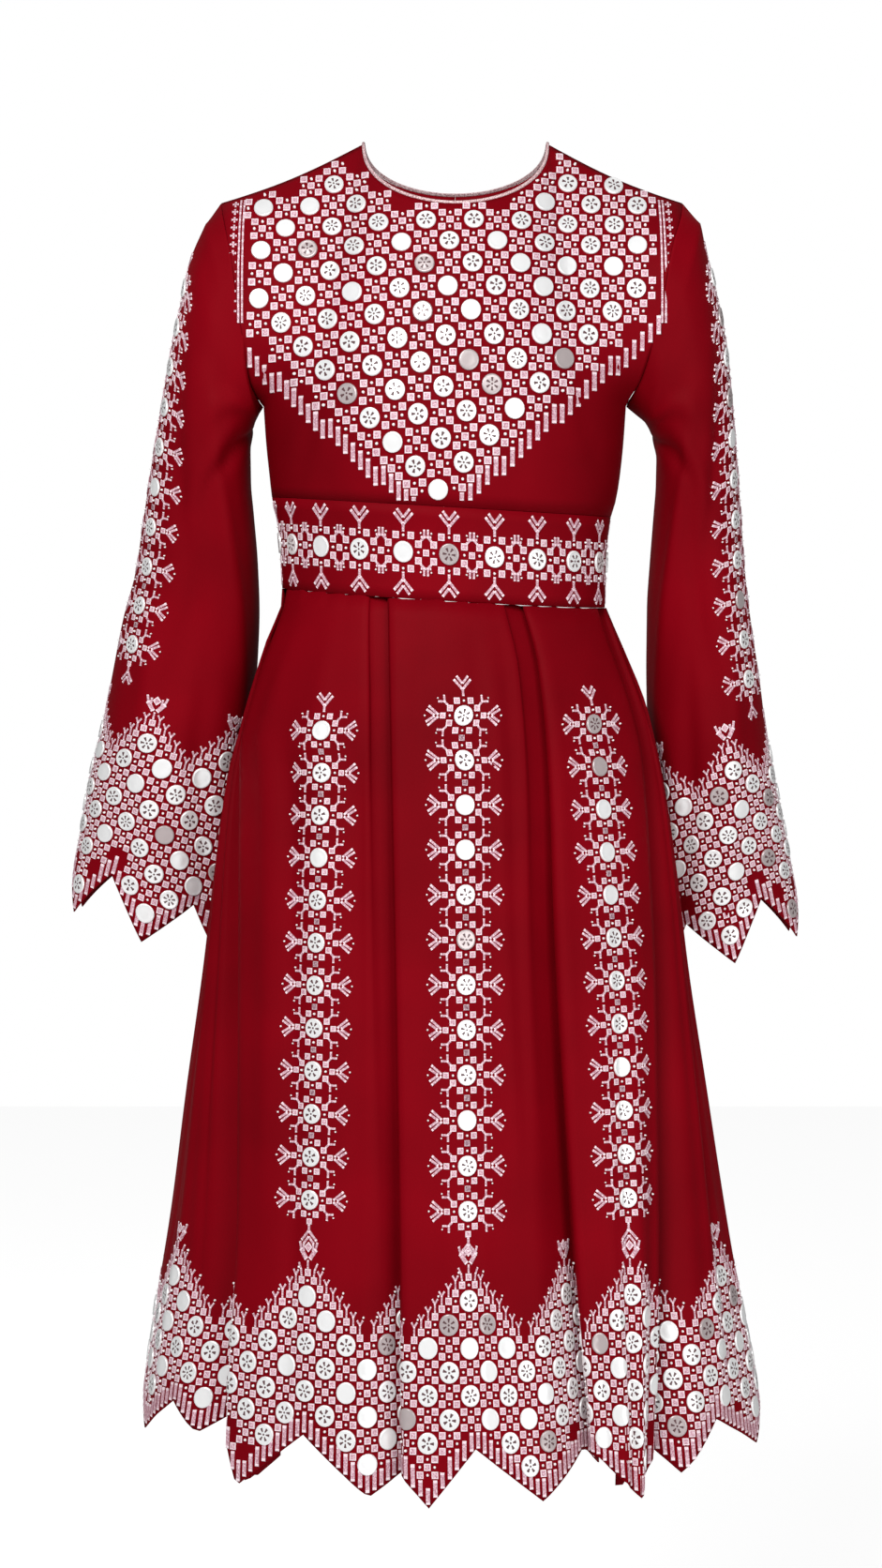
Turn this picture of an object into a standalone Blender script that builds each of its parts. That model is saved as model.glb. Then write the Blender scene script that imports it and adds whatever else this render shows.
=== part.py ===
import math

import bmesh
import bpy
from mathutils import Vector

# Sizes in metres. Front is -Y, up is +Z, the origin is between the wearer's shoulders.
WALL = 0.0015
SEAM_GAP = 0.0004
WAIST_Z = -0.3873
SKIRT_LENGTH = 0.703
BAND_HEIGHT = 0.077

# Trunk rings: height, half width, centre x, front depth, back depth
TRUNK = (
    (-0.400, 0.1374, -0.0070, 0.1020, 0.0950),
    (-0.387, 0.1374, -0.0070, 0.1020, 0.0950),
    (-0.350, 0.1385, -0.0070, 0.1040, 0.0950),
    (-0.325, 0.1410, -0.0070, 0.1080, 0.0960),
    (-0.304, 0.1463, -0.0065, 0.1140, 0.0980),
    (-0.280, 0.1495, -0.0060, 0.1190, 0.1000),
    (-0.255, 0.1520, -0.0060, 0.1220, 0.1020),
    (-0.225, 0.1540, -0.0060, 0.1220, 0.1030),
)

# Skirt rings: share of the length, half width, centre x, front depth, back depth
SKIRT = (
    (-0.05, 0.1370, -0.0072, 0.1020, 0.0950),
    (0.000, 0.1374, -0.0072, 0.1020, 0.0950),
    (0.050, 0.1498, -0.0078, 0.1090, 0.1000),
    (0.147, 0.1725, -0.0060, 0.1210, 0.1120),
    (0.290, 0.1915, -0.0055, 0.1330, 0.1220),
    (0.453, 0.2057, -0.0052, 0.1440, 0.1300),
    (0.592, 0.2204, -0.0044, 0.1540, 0.1370),
    (0.744, 0.2362, -0.0027, 0.1640, 0.1440),
    (0.852, 0.2497, -0.0020, 0.1710, 0.1490),
    (0.958, 0.2629, -0.0010, 0.1770, 0.1540),
    (1.080, 0.2760, 0.0000, 0.1840, 0.1600),
)

# Pleat edges: share of the length, x of the edge
LEFT_SIDE_EDGE = ((0.0, -0.1400), (0.05, -0.1525), (0.117, -0.1690), (0.184, -0.1801),
                  (0.707, -0.1796), (0.95, -0.1870), (1.08, -0.1900))
CENTRE_LEFT_EDGE = ((0.0, -0.0527), (0.81, -0.0423), (1.0, -0.0410), (1.08, -0.0405))
CENTRE_RIGHT_EDGE = ((0.0, 0.0575), (0.087, 0.0734), (0.225, 0.0824), (0.4, 0.0867),
                     (0.81, 0.1047), (0.98, 0.1158), (1.08, 0.1190))
RIGHT_SIDE_EDGE = ((0.0, 0.1200), (0.065, 0.1351), (0.11, 0.1470), (0.188, 0.1608),
                   (0.306, 0.1669), (0.455, 0.1713), (0.744, 0.1729), (0.99, 0.1672), (1.08, 0.1650))

# Pleats: edge, overlap at waist and hem, sink at waist and hem, side the top layer lies on, near and far approach
LEFT_SIDE_PLEAT = (LEFT_SIDE_EDGE, 0.008, 0.042, 0.0075, 0.026, 1, 0.028, 0.046)
CENTRE_LEFT_PLEAT = (CENTRE_LEFT_EDGE, 0.008, 0.031, 0.0075, 0.028, 1, 0.018, 0.036)
CENTRE_RIGHT_PLEAT = (CENTRE_RIGHT_EDGE, 0.008, 0.013, 0.0075, 0.030, 1, 0.018, 0.036)
RIGHT_SIDE_PLEAT = (RIGHT_SIDE_EDGE, 0.008, 0.022, 0.0075, 0.034, -1, 0.021, 0.042)

# Tips and notches of the hem: x, z across the front
HEM_FRONT = (
    (-0.1763, -1.1156), (-0.1215, -1.0686), (-0.0690, -1.1162), (-0.0415, -1.0980), (-0.0194, -1.1231),
    (0.0191, -1.0761), (0.0721, -1.1188), (0.1120, -1.0850), (0.1190, -1.0860), (0.1484, -1.1195),
)
# Tips and notches of the hem round each side: turn from centre front in degrees, z
HEM_LEFT = (
    (-45.7, -1.0620), (-53.6, -1.0800), (-61.5, -1.0573), (-76.0, -1.0894), (-88.0, -1.0590),
    (-100.0, -1.0920), (-112.0, -1.0600), (-124.0, -1.0940), (-133.0, -1.0640), (-140.4, -1.0800),
)
HEM_RIGHT = (
    (39.6, -1.0830), (46.5, -1.1090), (55.5, -1.0692), (73.6, -1.1001), (86.0, -1.0640),
    (98.0, -1.0970), (109.0, -1.0630), (120.0, -1.0950), (128.0, -1.0640), (134.3, -1.0820),
)
# Soft ridges of the front panel on +X: share from nose to nose, height at the hem
RIDGES = ((0.12, 0.0050), (0.33, 0.0120), (0.50, 0.0070), (0.68, 0.0150), (0.86, 0.0080))
SKIRT_ROWS = (0.0, 0.03, 0.08, 0.16, 0.28, 0.42, 0.57, 0.71, 0.80, 0.87, 0.94, 1.0)

# Sleeve rings: outer x, outer z, inner x, inner z, centre y, half depth
RIGHT_SLEEVE = (
    (-0.2090, -0.0710, -0.1650, -0.2320, 0.002, 0.0560),
    (-0.2222, -0.1015, -0.1690, -0.2400, 0.004, 0.0570),
    (-0.2306, -0.1374, -0.1712, -0.2500, 0.008, 0.0580),
    (-0.2399, -0.1798, -0.1722, -0.2640, 0.012, 0.0590),
    (-0.2493, -0.2305, -0.1722, -0.2880, 0.018, 0.0590),
    (-0.2571, -0.2725, -0.1702, -0.3150, 0.024, 0.0590),
    (-0.2657, -0.3236, -0.1672, -0.3560, 0.032, 0.0590),
    (-0.2728, -0.3645, -0.1662, -0.3940, 0.040, 0.0595),
    (-0.2844, -0.4046, -0.1680, -0.4360, 0.048, 0.0600),
    (-0.2939, -0.4492, -0.1725, -0.4800, 0.054, 0.0610),
    (-0.3049, -0.5022, -0.1810, -0.5330, 0.060, 0.0630),
    (-0.3150, -0.5380, -0.1830, -0.5800, 0.068, 0.0630),
    (-0.3225, -0.5750, -0.1850, -0.6230, 0.077, 0.0620),
    (-0.3300, -0.6115, -0.1870, -0.6655, 0.085, 0.0610),
)
LEFT_SLEEVE = (
    (0.2110, -0.0705, 0.1650, -0.2380, 0.002, 0.0560),
    (0.2165, -0.0960, 0.1700, -0.2460, 0.004, 0.0570),
    (0.2253, -0.1300, 0.1735, -0.2560, 0.008, 0.0580),
    (0.2335, -0.1700, 0.1752, -0.2700, 0.012, 0.0590),
    (0.2395, -0.2190, 0.1752, -0.2900, 0.018, 0.0590),
    (0.2440, -0.2640, 0.1735, -0.3180, 0.024, 0.0590),
    (0.2485, -0.3130, 0.1710, -0.3560, 0.032, 0.0590),
    (0.2530, -0.3640, 0.1690, -0.3960, 0.040, 0.0595),
    (0.2600, -0.4140, 0.1690, -0.4380, 0.048, 0.0600),
    (0.2669, -0.4541, 0.1700, -0.4820, 0.054, 0.0610),
    (0.2735, -0.5000, 0.1740, -0.5330, 0.060, 0.0630),
    (0.2830, -0.5480, 0.1760, -0.5850, 0.070, 0.0640),
    (0.2930, -0.5920, 0.1725, -0.6340, 0.082, 0.0620),
    (0.3020, -0.6340, 0.1700, -0.6810, 0.092, 0.0600),
)
CUFF_ZIGZAG = 0.044

# Armhole seam: share from shoulder tip to underarm, x on the wearer's right, x on the left, z, bulge in y
ARMHOLE = (
    (0.00, -0.1958, 0.1957, -0.0530, 0.000),
    (0.12, -0.1925, 0.1925, -0.0670, 0.024),
    (0.28, -0.1871, 0.1850, -0.0900, 0.045),
    (0.45, -0.1809, 0.1780, -0.1230, 0.056),
    (0.64, -0.1747, 0.1690, -0.1680, 0.055),
    (0.84, -0.1700, 0.1580, -0.2065, 0.038),
    (0.94, -0.1640, 0.1500, -0.2200, 0.018),
    (1.00, -0.1600, 0.1480, -0.2250, 0.000),
)
NECK_HALF = 0.0795
NECK_X = 0.0031
NECK_Z = -0.0038
NECK_FRONT_DROP = 0.0600
NECK_BACK_DROP = 0.0360
NECK_FRONT_REACH = 0.0750
NECK_BACK_REACH = 0.0550
BINDING_HEIGHT = 0.0028

COLOUR = (0.30, 0.004, 0.012, 1.0)
BINDING_COLOUR = (0.55, 0.40, 0.42, 1.0)


def clear_scene():
    for item in list(bpy.data.objects):
        bpy.data.objects.remove(item, do_unlink=True)


def at(table, key, column):
    """Value of one column at a key, straight between rows."""
    if key <= table[0][0]:
        return table[0][column]
    for low, high in zip(table, table[1:]):
        if key <= high[0]:
            share = (key - low[0]) / (high[0] - low[0])
            return low[column] + share * (high[column] - low[column])
    return table[-1][column]


def ease(value):
    value = min(1.0, max(0.0, value))
    return value * value * (3 - 2 * value)


# grids: rows from bottom to top, columns anticlockwise seen from above

def grid_normals(grid, wrap=False):
    """Area-weighted corner normals of one grid."""
    rows = len(grid)
    columns = len(grid[0])
    total = [[Vector((0, 0, 0)) for _ in range(columns)] for _ in range(rows)]
    last = columns if wrap else columns - 1
    for r in range(rows - 1):
        for c in range(last):
            d = (c + 1) % columns
            across = grid[r + 1][d] - grid[r][c]
            other = grid[r + 1][c] - grid[r][d]
            normal = across.cross(other) * 0.5
            for spot in ((r, c), (r, d), (r + 1, c), (r + 1, d)):
                total[spot[0]][spot[1]] += normal
    return [[v.normalized() if v.length > 0 else Vector((0, 0, 1)) for v in row] for row in total]


def pull_back(grid, left=False, right=False, bottom=False, top=False):
    rows = len(grid)
    columns = len(grid[0])
    moved = [list(row) for row in grid]
    if left:
        for r in range(rows):
            step = (grid[r][1] - grid[r][0]).normalized()
            moved[r][0] = moved[r][0] + step * (SEAM_GAP / 2)
    if right:
        for r in range(rows):
            step = (grid[r][columns - 2] - grid[r][columns - 1]).normalized()
            moved[r][columns - 1] = moved[r][columns - 1] + step * (SEAM_GAP / 2)
    if bottom:
        for c in range(columns):
            step = (grid[1][c] - grid[0][c]).normalized()
            moved[0][c] = moved[0][c] + step * (SEAM_GAP / 2)
    if top:
        for c in range(columns):
            step = (grid[rows - 2][c] - grid[rows - 1][c]).normalized()
            moved[rows - 1][c] = moved[rows - 1][c] + step * (SEAM_GAP / 2)
    return moved


def cloth_solid(name, outer, inner, colour, wrap=False):
    """A closed wall between an outer and an inner grid."""
    rows = len(outer)
    columns = len(outer[0])
    count = rows * columns
    mesh = bpy.data.meshes.new(name)
    work = bmesh.new()
    corners = [work.verts.new(p) for layer in (outer, inner) for row in layer for p in row]

    def corner(layer, r, c):
        return corners[layer * count + r * columns + (c % columns)]

    last = columns if wrap else columns - 1
    for r in range(rows - 1):
        for c in range(last):
            work.faces.new((corner(0, r, c), corner(0, r, c + 1), corner(0, r + 1, c + 1), corner(0, r + 1, c)))
            work.faces.new((corner(1, r, c), corner(1, r + 1, c), corner(1, r + 1, c + 1), corner(1, r, c + 1)))
    for c in range(last):
        work.faces.new((corner(0, 0, c), corner(1, 0, c), corner(1, 0, c + 1), corner(0, 0, c + 1)))
        end = rows - 1
        work.faces.new((corner(0, end, c), corner(0, end, c + 1), corner(1, end, c + 1), corner(1, end, c)))
    if not wrap:
        side = columns - 1
        for r in range(rows - 1):
            work.faces.new((corner(0, r, 0), corner(0, r + 1, 0), corner(1, r + 1, 0), corner(1, r, 0)))
            work.faces.new((corner(0, r, side), corner(1, r, side), corner(1, r + 1, side), corner(0, r + 1, side)))
    bmesh.ops.recalc_face_normals(work, faces=work.faces)
    work.to_mesh(mesh)
    work.free()
    thing = bpy.data.objects.new(name, mesh)
    bpy.context.scene.collection.objects.link(thing)
    material = bpy.data.materials.new(name + "_cloth")
    material.use_nodes = True
    shader = material.node_tree.nodes["Principled BSDF"]
    shader.inputs["Base Color"].default_value = colour
    shader.inputs["Roughness"].default_value = 0.7
    mesh.materials.append(material)
    for face in mesh.polygons:
        face.use_smooth = True
    return thing


def walled(name, grid, normals, colour=COLOUR, wrap=False):
    inner = [[p - n * WALL for p, n in zip(row, line)] for row, line in zip(grid, normals)]
    return cloth_solid(name, grid, inner, colour, wrap)


# trunk: bodice above, band below

def waist_z(turn):
    return WAIST_Z - 0.0083 * math.sin(turn) - 0.005 * max(0.0, math.cos(turn))


def trunk_point(turn, z):
    """Point on the trunk below the underarm; turn is measured from centre front to +X."""
    half = at(TRUNK, z, 1)
    centre = at(TRUNK, z, 2)
    depth = at(TRUNK, z, 3) if math.cos(turn) > 0 else at(TRUNK, z, 4)
    return Vector((centre + half * math.sin(turn), -depth * math.cos(turn), z))


def armhole_point(share, side, front):
    """Point of the armhole seam; side is -1 on -X, front is -1 towards -Y."""
    column = 1 if side < 0 else 2
    return Vector((at(ARMHOLE, share, column), front * at(ARMHOLE, share, 4), at(ARMHOLE, share, 3)))


def neck_point(share, front):
    """Neck edge, share -1 to 1 from -X to +X."""
    drop = NECK_FRONT_DROP if front < 0 else NECK_BACK_DROP
    reach = NECK_FRONT_REACH if front < 0 else NECK_BACK_REACH
    angle = share * math.pi / 2
    fall = math.cos(angle)
    return Vector((NECK_X + NECK_HALF * math.sin(angle), front * reach * fall, NECK_Z - drop * fall ** 0.9))


def top_edge(s, front):
    """Top edge of a bodice half: shoulder, neck, shoulder for s from -1 to 1."""
    if abs(s) <= 0.5:
        return neck_point(s * 2, front)
    side = -1 if s < 0 else 1
    share = (abs(s) - 0.5) * 2
    neck = neck_point(side, front)
    tip = armhole_point(0, side, front)
    point = neck.lerp(tip, share)
    point.z -= 0.004 * math.sin(share * math.pi)
    return point


def upper_point(s, t, front):
    """Bodice half above the underarm, s across from -X to +X, t up from 0 to 1."""
    turn = s * math.pi / 2
    low_left = armhole_point(1, -1, front)
    low_right = armhole_point(1, 1, front)
    z_low = low_left.z + (low_right.z - low_left.z) * (s + 1) / 2

    def bottom(value):
        point = trunk_point(value * math.pi / 2, z_low)
        point.y *= -front
        edge = low_left if value < 0 else low_right
        point.x += (edge.x - trunk_point(math.copysign(math.pi / 2, value), z_low).x) * ease(abs(value))
        if front > 0:
            point.y *= at(TRUNK, z_low, 4) / at(TRUNK, z_low, 3)
        return point

    under = bottom(s)
    over = top_edge(s, front)
    edge_left = armhole_point(1 - t, -1, front)
    edge_right = armhole_point(1 - t, 1, front)
    blend_t = t ** 0.9
    swell = 0.013 * math.sin(math.pi * t) * math.cos(turn) * (1 if front < 0 else 0.5)
    point = under.lerp(over, blend_t)
    near = min(1, max(0, abs(s))) ** 2.4
    if s < 0:
        point += (edge_left - bottom(-1).lerp(top_edge(-1, front), blend_t)) * near
    else:
        point += (edge_right - bottom(1).lerp(top_edge(1, front), blend_t)) * near
    point.y += front * swell
    return point


S_STEPS = 20
T_STEPS = 11


def bodice_grid(front):
    """Rows of a bodice half from the band seam to the neck and shoulders, -X to +X."""
    low_z = [-0.3105 + 0.0, -0.290, -0.268, -0.246]
    grid = []
    for level, z in enumerate(low_z):
        row = []
        for i in range(S_STEPS + 1):
            s = -1 + 2 * i / S_STEPS
            turn = s * math.pi / 2 if front < 0 else math.pi - s * math.pi / 2
            height = z
            if level == 0:
                height = waist_z(turn) + BAND_HEIGHT
            row.append(trunk_point(turn, height))
        grid.append(row)
    for k in range(T_STEPS + 1):
        t = k / T_STEPS
        grid.append([upper_point(-1 + 2 * i / S_STEPS, t, front) for i in range(S_STEPS + 1)])
    return grid


def turned(grid):
    return [list(reversed(row)) for row in grid]


def merged_normals(grids):
    """Normals shared by all grids where their points coincide."""
    total = {}
    own = [grid_normals(grid, wrap) for grid, wrap in grids]
    for (grid, wrap), normals in zip(grids, own):
        for row, line in zip(grid, normals):
            for p, n in zip(row, line):
                key = (round(p.x, 5), round(p.y, 5), round(p.z, 5))
                total[key] = total.get(key, Vector((0, 0, 0))) + n
    shared = []
    for grid, wrap in grids:
        shared.append([[total[(round(p.x, 5), round(p.y, 5), round(p.z, 5))].normalized() for p in row]
                       for row in grid])
    return own, shared


# sleeves

def sleeve_grid(rings, side):
    """Rows from armhole down; each ring starts at the top or outer line and runs through the front."""
    count = 2 * T_STEPS + 2
    half = T_STEPS + 1
    loops = []
    loop = []
    for j in range(count):
        share = j / half if j <= half else (count - j) / half
        front = -1 if j <= half else 1
        share_up = share
        point = armhole_point(share_up, side, front)
        loop.append(point)
    loops.append(loop)
    for k, (ox, oz, ix, iz, centre_y, half_depth) in enumerate(rings):
        loop = []
        settle = ease((k + 1) / 4)
        for j in range(count):
            angle = 2 * math.pi * j / count
            across = (1 - math.cos(angle)) / 2
            round_y = math.copysign(abs(math.sin(angle)) ** 0.9, math.sin(angle))
            x = ox + (ix - ox) * across
            z = oz + (iz - oz) * across
            y = centre_y - half_depth * round_y
            if k == len(rings) - 1:
                wave = abs(((j / 4 + 0.5) % 1.0) - 0.5) * 2
                z -= CUFF_ZIGZAG * wave
                x += side * CUFF_ZIGZAG * 0.2 * wave
            loop.append(Vector((x, y, z)))
        if settle < 1:
            first = loops[0]
            for j in range(count):
                gap = first[j] - Vector(((first[0].x + first[half].x) / 2, 0, (first[0].z + first[half].z) / 2))
                middle = Vector(((ox + ix) / 2, centre_y, (oz + iz) / 2))
                carried = middle + gap * 1.0
                keep = Vector((loop[j].x, carried.y, loop[j].z))
                loop[j] = keep.lerp(loop[j], settle)
        loops.append(loop)
    rows = list(reversed(loops))
    if side > 0:
        rows = [[row[0]] + list(reversed(row[1:])) for row in rows]
    return rows


# skirt

def skirt_ring(turn, depth, t):
    """Point of the skirt at share t of its length; depth is measured inwards from the outline."""
    half = at(SKIRT, t, 1)
    centre = at(SKIRT, t, 2)
    reach = at(SKIRT, t, 3) if math.cos(turn) > 0 else at(SKIRT, t, 4)
    place = Vector((centre + half * math.sin(turn), -reach * math.cos(turn)))
    outward = Vector((reach * math.sin(turn), -half * math.cos(turn))).normalized()
    return place - outward * (depth + WALL / 2)


def turn_at(x, t):
    """Turn of an x on the front outline."""
    share = (x - at(SKIRT, t, 2)) / at(SKIRT, t, 1)
    return math.asin(max(-0.999, min(0.999, share)))


def turn_step(turn, length, t):
    """Change of turn that covers a length along the outline."""
    half = at(SKIRT, t, 1)
    reach = at(SKIRT, t, 3) if math.cos(turn) > 0 else at(SKIRT, t, 4)
    speed = math.hypot(half * math.cos(turn), reach * math.sin(turn))
    return length / speed


def pleat_lines(pleat, t):
    """Lower layer to top layer: turn, depth."""
    edge, over_top, over_low, sink_top, sink_low, lies, near, far = pleat
    fall = min(1.0, max(0.0, t)) ** 0.8
    overlap = over_top + (over_low - over_top) * fall
    sink = sink_top + (sink_low - sink_top) * fall
    fold = 0.0022 + 0.0015 * fall
    turn = turn_at(at(edge, t, 1), t)
    steps = (
        (-far * (0.5 + 0.5 * fall), 0.03), (-near, 0.38), (0.0, 0.84), (0.6 * overlap, 1.0),
        (overlap - fold, 0.97), (overlap, 0.82), (overlap - fold, 0.66), (0.55 * overlap, 0.60),
        (0.2 * overlap, 0.46), (fold * 0.6, 0.36), (0.0, 0.19), (fold * 0.8, 0.03), (0.012, 0.0),
    )
    lines = [(turn + turn_step(turn, lies * reach, t), share * sink) for reach, share in steps]
    return lines if lies > 0 else list(reversed(lines))


def hem_turns():
    """Tips and notches of the whole hem as turns and heights."""
    front = [(turn_at(x, 1.0), z) for x, z in HEM_FRONT]
    left = [(math.radians(turn), z) for turn, z in HEM_LEFT]
    right = [(math.radians(turn), z) for turn, z in HEM_RIGHT]
    back = [(turn + math.pi, z) for turn, z in front]
    behind = [(turn + 2 * math.pi, z) for turn, z in left]
    return sorted(left + front + right + back + behind)


HEM = hem_turns()


def hem_height(turn):
    while turn > HEM[-1][0]:
        turn -= 2 * math.pi
    while turn < HEM[0][0]:
        turn += 2 * math.pi
    return at(HEM, turn, 1)


def panel(before, after, t, before_hem, after_hem):
    """Columns of a panel between two pleats, one on each tip and notch and one between."""
    low = before[-1][0]
    high = after[0][0]
    low_hem = before_hem[-1][0]
    high_hem = after_hem[0][0]
    marks = [turn for turn, z in HEM if low_hem + 0.012 < turn < high_hem - 0.012]
    stops = [low_hem] + marks + [high_hem]
    shares = []
    for first, second in zip(stops, stops[1:]):
        if second - first > 0.16:
            shares.append(((first + second) / 2 - low_hem) / (high_hem - low_hem))
        if second != high_hem:
            shares.append((second - low_hem) / (high_hem - low_hem))
    return [(low + (high - low) * share, 0.0) for share in shares]


def front_pleats(t):
    return [pleat_lines(pleat, t) for pleat in
            (LEFT_SIDE_PLEAT, CENTRE_LEFT_PLEAT, CENTRE_RIGHT_PLEAT, RIGHT_SIDE_PLEAT)]


def front_lines(t):
    """Columns of the skirt front from its left seam to its right seam."""
    left, centre, right, last = front_pleats(t)
    left_hem, centre_hem, right_hem, last_hem = front_pleats(1.0)
    lines = left[5:]
    lines += panel(left, centre, t, left_hem, centre_hem)
    lines += centre
    lines += panel(centre, right, t, centre_hem, right_hem)
    lines += right
    low = right[-1][0]
    high = last[0][0]
    grow = max(0.0, (t - 0.2) / 0.8) ** 1.2
    for share, rise in RIDGES:
        lines.append((low + (high - low) * share, -rise * grow))
    return lines + last[:8]


def side_lines(t, quarter):
    """Columns of a skirt side; quarter is 0 for +X and 1 for -X, the same turned by half a turn."""
    first = pleat_lines(RIGHT_SIDE_PLEAT, t)[7:]
    first_hem = pleat_lines(RIGHT_SIDE_PLEAT, 1.0)[7:]
    last = half_turn(pleat_lines(LEFT_SIDE_PLEAT, t)[:6])
    last_hem = half_turn(pleat_lines(LEFT_SIDE_PLEAT, 1.0)[:6])
    if quarter:
        first, first_hem, last, last_hem = [half_turn(part) for part in (first, first_hem, last, last_hem)]
    return first + panel(first, last, t, first_hem, last_hem) + last


def half_turn(lines):
    return [(turn + math.pi, depth) for turn, depth in lines]


def ring_points(t):
    """All columns of the skirt ring at share t and the column each seam lies on."""
    front = front_lines(t)
    right = side_lines(t, 0)
    left = side_lines(t, 1)
    ring = front[:-1] + right[:-1] + half_turn(front)[:-1] + left[:-1]
    seams = (0, len(front) - 1, len(front) + len(right) - 2, 2 * len(front) + len(right) - 3)
    return ring, seams


def mitred(points):
    """Outward offsets in plan that keep the wall's thickness round each fold."""
    count = len(points)
    offsets = []
    for i in range(count):
        before = (points[i] - points[i - 1]).normalized()
        after = (points[(i + 1) % count] - points[i]).normalized()
        a = Vector((before.y, -before.x))
        b = Vector((after.y, -after.x))
        middle = a + b
        if middle.length < 0.2:
            middle = before - after
        middle.normalize()
        stretch = 1 / max(0.62, middle.dot(a))
        offsets.append(middle * stretch * WALL / 2)
    return offsets


def skirt_columns():
    """Outer and inner points of the whole skirt, rows from hem to waist."""
    base, seams = ring_points(1.0)
    count = len(base)
    heights = [hem_height(turn) for turn, depth in base]
    tops = [waist_z(turn) - SEAM_GAP for turn, depth in ring_points(0.0)[0]]
    outer = []
    inner = []
    for share in reversed(SKIRT_ROWS):
        row_out = []
        row_in = []
        for i in range(count):
            z = tops[i] + (heights[i] - tops[i]) * share
            t = (WAIST_Z - z) / SKIRT_LENGTH if share > 0 else 0.0
            ring = ring_cache(t)
            row_out.append((ring[0][i] + ring[1][i], z))
            row_in.append((ring[0][i] - ring[1][i], z))
        outer.append([Vector((p.x, p.y, z)) for p, z in row_out])
        inner.append([Vector((p.x, p.y, z)) for p, z in row_in])
    return outer, inner, seams


CACHE = {}


def ring_cache(t):
    key = round(t, 4)
    if key not in CACHE:
        plan = [skirt_ring(turn, depth, key) for turn, depth in ring_points(key)[0]]
        CACHE[key] = (plan, mitred(plan))
    return CACHE[key]


def build_skirt():
    outer, inner, seams = skirt_columns()
    count = len(outer[0])
    ranges = (("skirt_front", seams[0], seams[1]), ("skirt_left", seams[1], seams[2]),
              ("skirt_back", seams[2], seams[3]), ("skirt_right", seams[3], count))
    for name, first, last in ranges:
        columns = [c % count for c in range(first, last + 1)]
        out_grid = [[row[c] for c in columns] for row in outer]
        in_grid = [[row[c] for c in columns] for row in inner]
        out_grid = pull_back(out_grid, left=True, right=True)
        in_grid = pull_back(in_grid, left=True, right=True)
        cloth_solid(name, out_grid, in_grid, COLOUR)


# everything

def build_trunk_and_sleeves():
    front = bodice_grid(-1)
    back = turned(bodice_grid(1))
    middle = S_STEPS // 2
    back_right_half = [row[:middle + 1] for row in back]
    back_left_half = [row[middle:] for row in back]
    right_sleeve = sleeve_grid(RIGHT_SLEEVE, -1)
    left_sleeve = sleeve_grid(LEFT_SLEEVE, 1)
    pieces = [(front, False), (back, False), (right_sleeve, True), (left_sleeve, True)]
    own, shared = merged_normals(pieces)

    def seam_normals(index):
        """Shared normals, except on a concave armhole where each piece keeps its own."""
        result = []
        for row, line, mine in zip(pieces[index][0], shared[index], own[index]):
            result.append([a if a.dot(b) > 0.55 else b for a, b in zip(line, mine)])
        return result

    front_n = seam_normals(0)
    back_n = seam_normals(1)
    walled("bodice_front", pull_back(front, True, True, True, True), front_n)
    back_l = [row[:middle + 1] for row in back_n]
    back_r = [row[middle:] for row in back_n]
    walled("bodice_back_left", pull_back(back_right_half, True, True, True, True), back_l)
    walled("bodice_back_right", pull_back(back_left_half, True, True, True, True), back_r)
    for name, index, grid in (("sleeve_right", 2, right_sleeve), ("sleeve_left", 3, left_sleeve)):
        normals = seam_normals(index)
        moved = [list(row) for row in grid]
        top = len(grid) - 1
        for c in range(len(grid[0])):
            step = (grid[top - 1][c] - grid[top][c]).normalized()
            moved[top][c] = moved[top][c] + step * SEAM_GAP * 2
        walled(name, moved, normals, COLOUR, True)
    build_binding(front, front_n, back, back_n)


def build_band():
    """Waistband in two halves that meet at the sides."""
    shares = (0.0, 0.33, 0.67, 1.0)
    for name, start, stop in (("waistband_front", -0.5, 0.5), ("waistband_back", 0.5, 1.5)):
        grid = []
        for share in shares:
            row = []
            for i in range(S_STEPS + 1):
                turn = math.pi * (start + (stop - start) * i / S_STEPS)
                row.append(trunk_point(turn, waist_z(turn) + BAND_HEIGHT * share))
            grid.append(row)
        normals = grid_normals(grid)
        for line in normals:
            for n in line:
                n.z *= 0.3
                n.normalize()
            for spot in (0, -1):
                line[spot] = Vector((math.copysign(1, line[spot].x), 0, line[spot].z)).normalized()
        grid = pull_back(grid, True, True, True, True)
        walled(name, grid, normals)


def build_binding(front, front_n, back, back_n):
    """Narrow ring that carries the wall on past the neck edge."""
    quarter = S_STEPS // 4
    top = len(front) - 1
    spots = [(front, front_n, c) for c in range(quarter, S_STEPS - quarter + 1)]
    spots += [(back, back_n, c) for c in range(quarter + 1, S_STEPS - quarter)]
    low = []
    high = []
    normals = []
    for grid, lines, c in spots:
        point = grid[top][c]
        normal = lines[top][c]
        rise = (grid[top][c] - grid[top - 1][c]).normalized()
        if grid is front and c in (quarter, S_STEPS - quarter):
            inwards = 1 if c == quarter else -1
            rise = Vector((inwards, 0, 0.3)).normalized()
            other = Vector((0, 0, 1))
            normal = (other - rise * other.dot(rise)).normalized()
        low.append(point + rise * SEAM_GAP * 1.5)
        high.append(point + rise * (SEAM_GAP * 1.5 + BINDING_HEIGHT))
        normals.append(normal)
    walled("neck_binding", [low, high], [normals, normals], BINDING_COLOUR, True)


clear_scene()
build_trunk_and_sleeves()
build_band()
build_skirt()
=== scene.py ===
import math

import bpy
import numpy as np
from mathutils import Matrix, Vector
from mathutils.bvhtree import BVHTree


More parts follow.
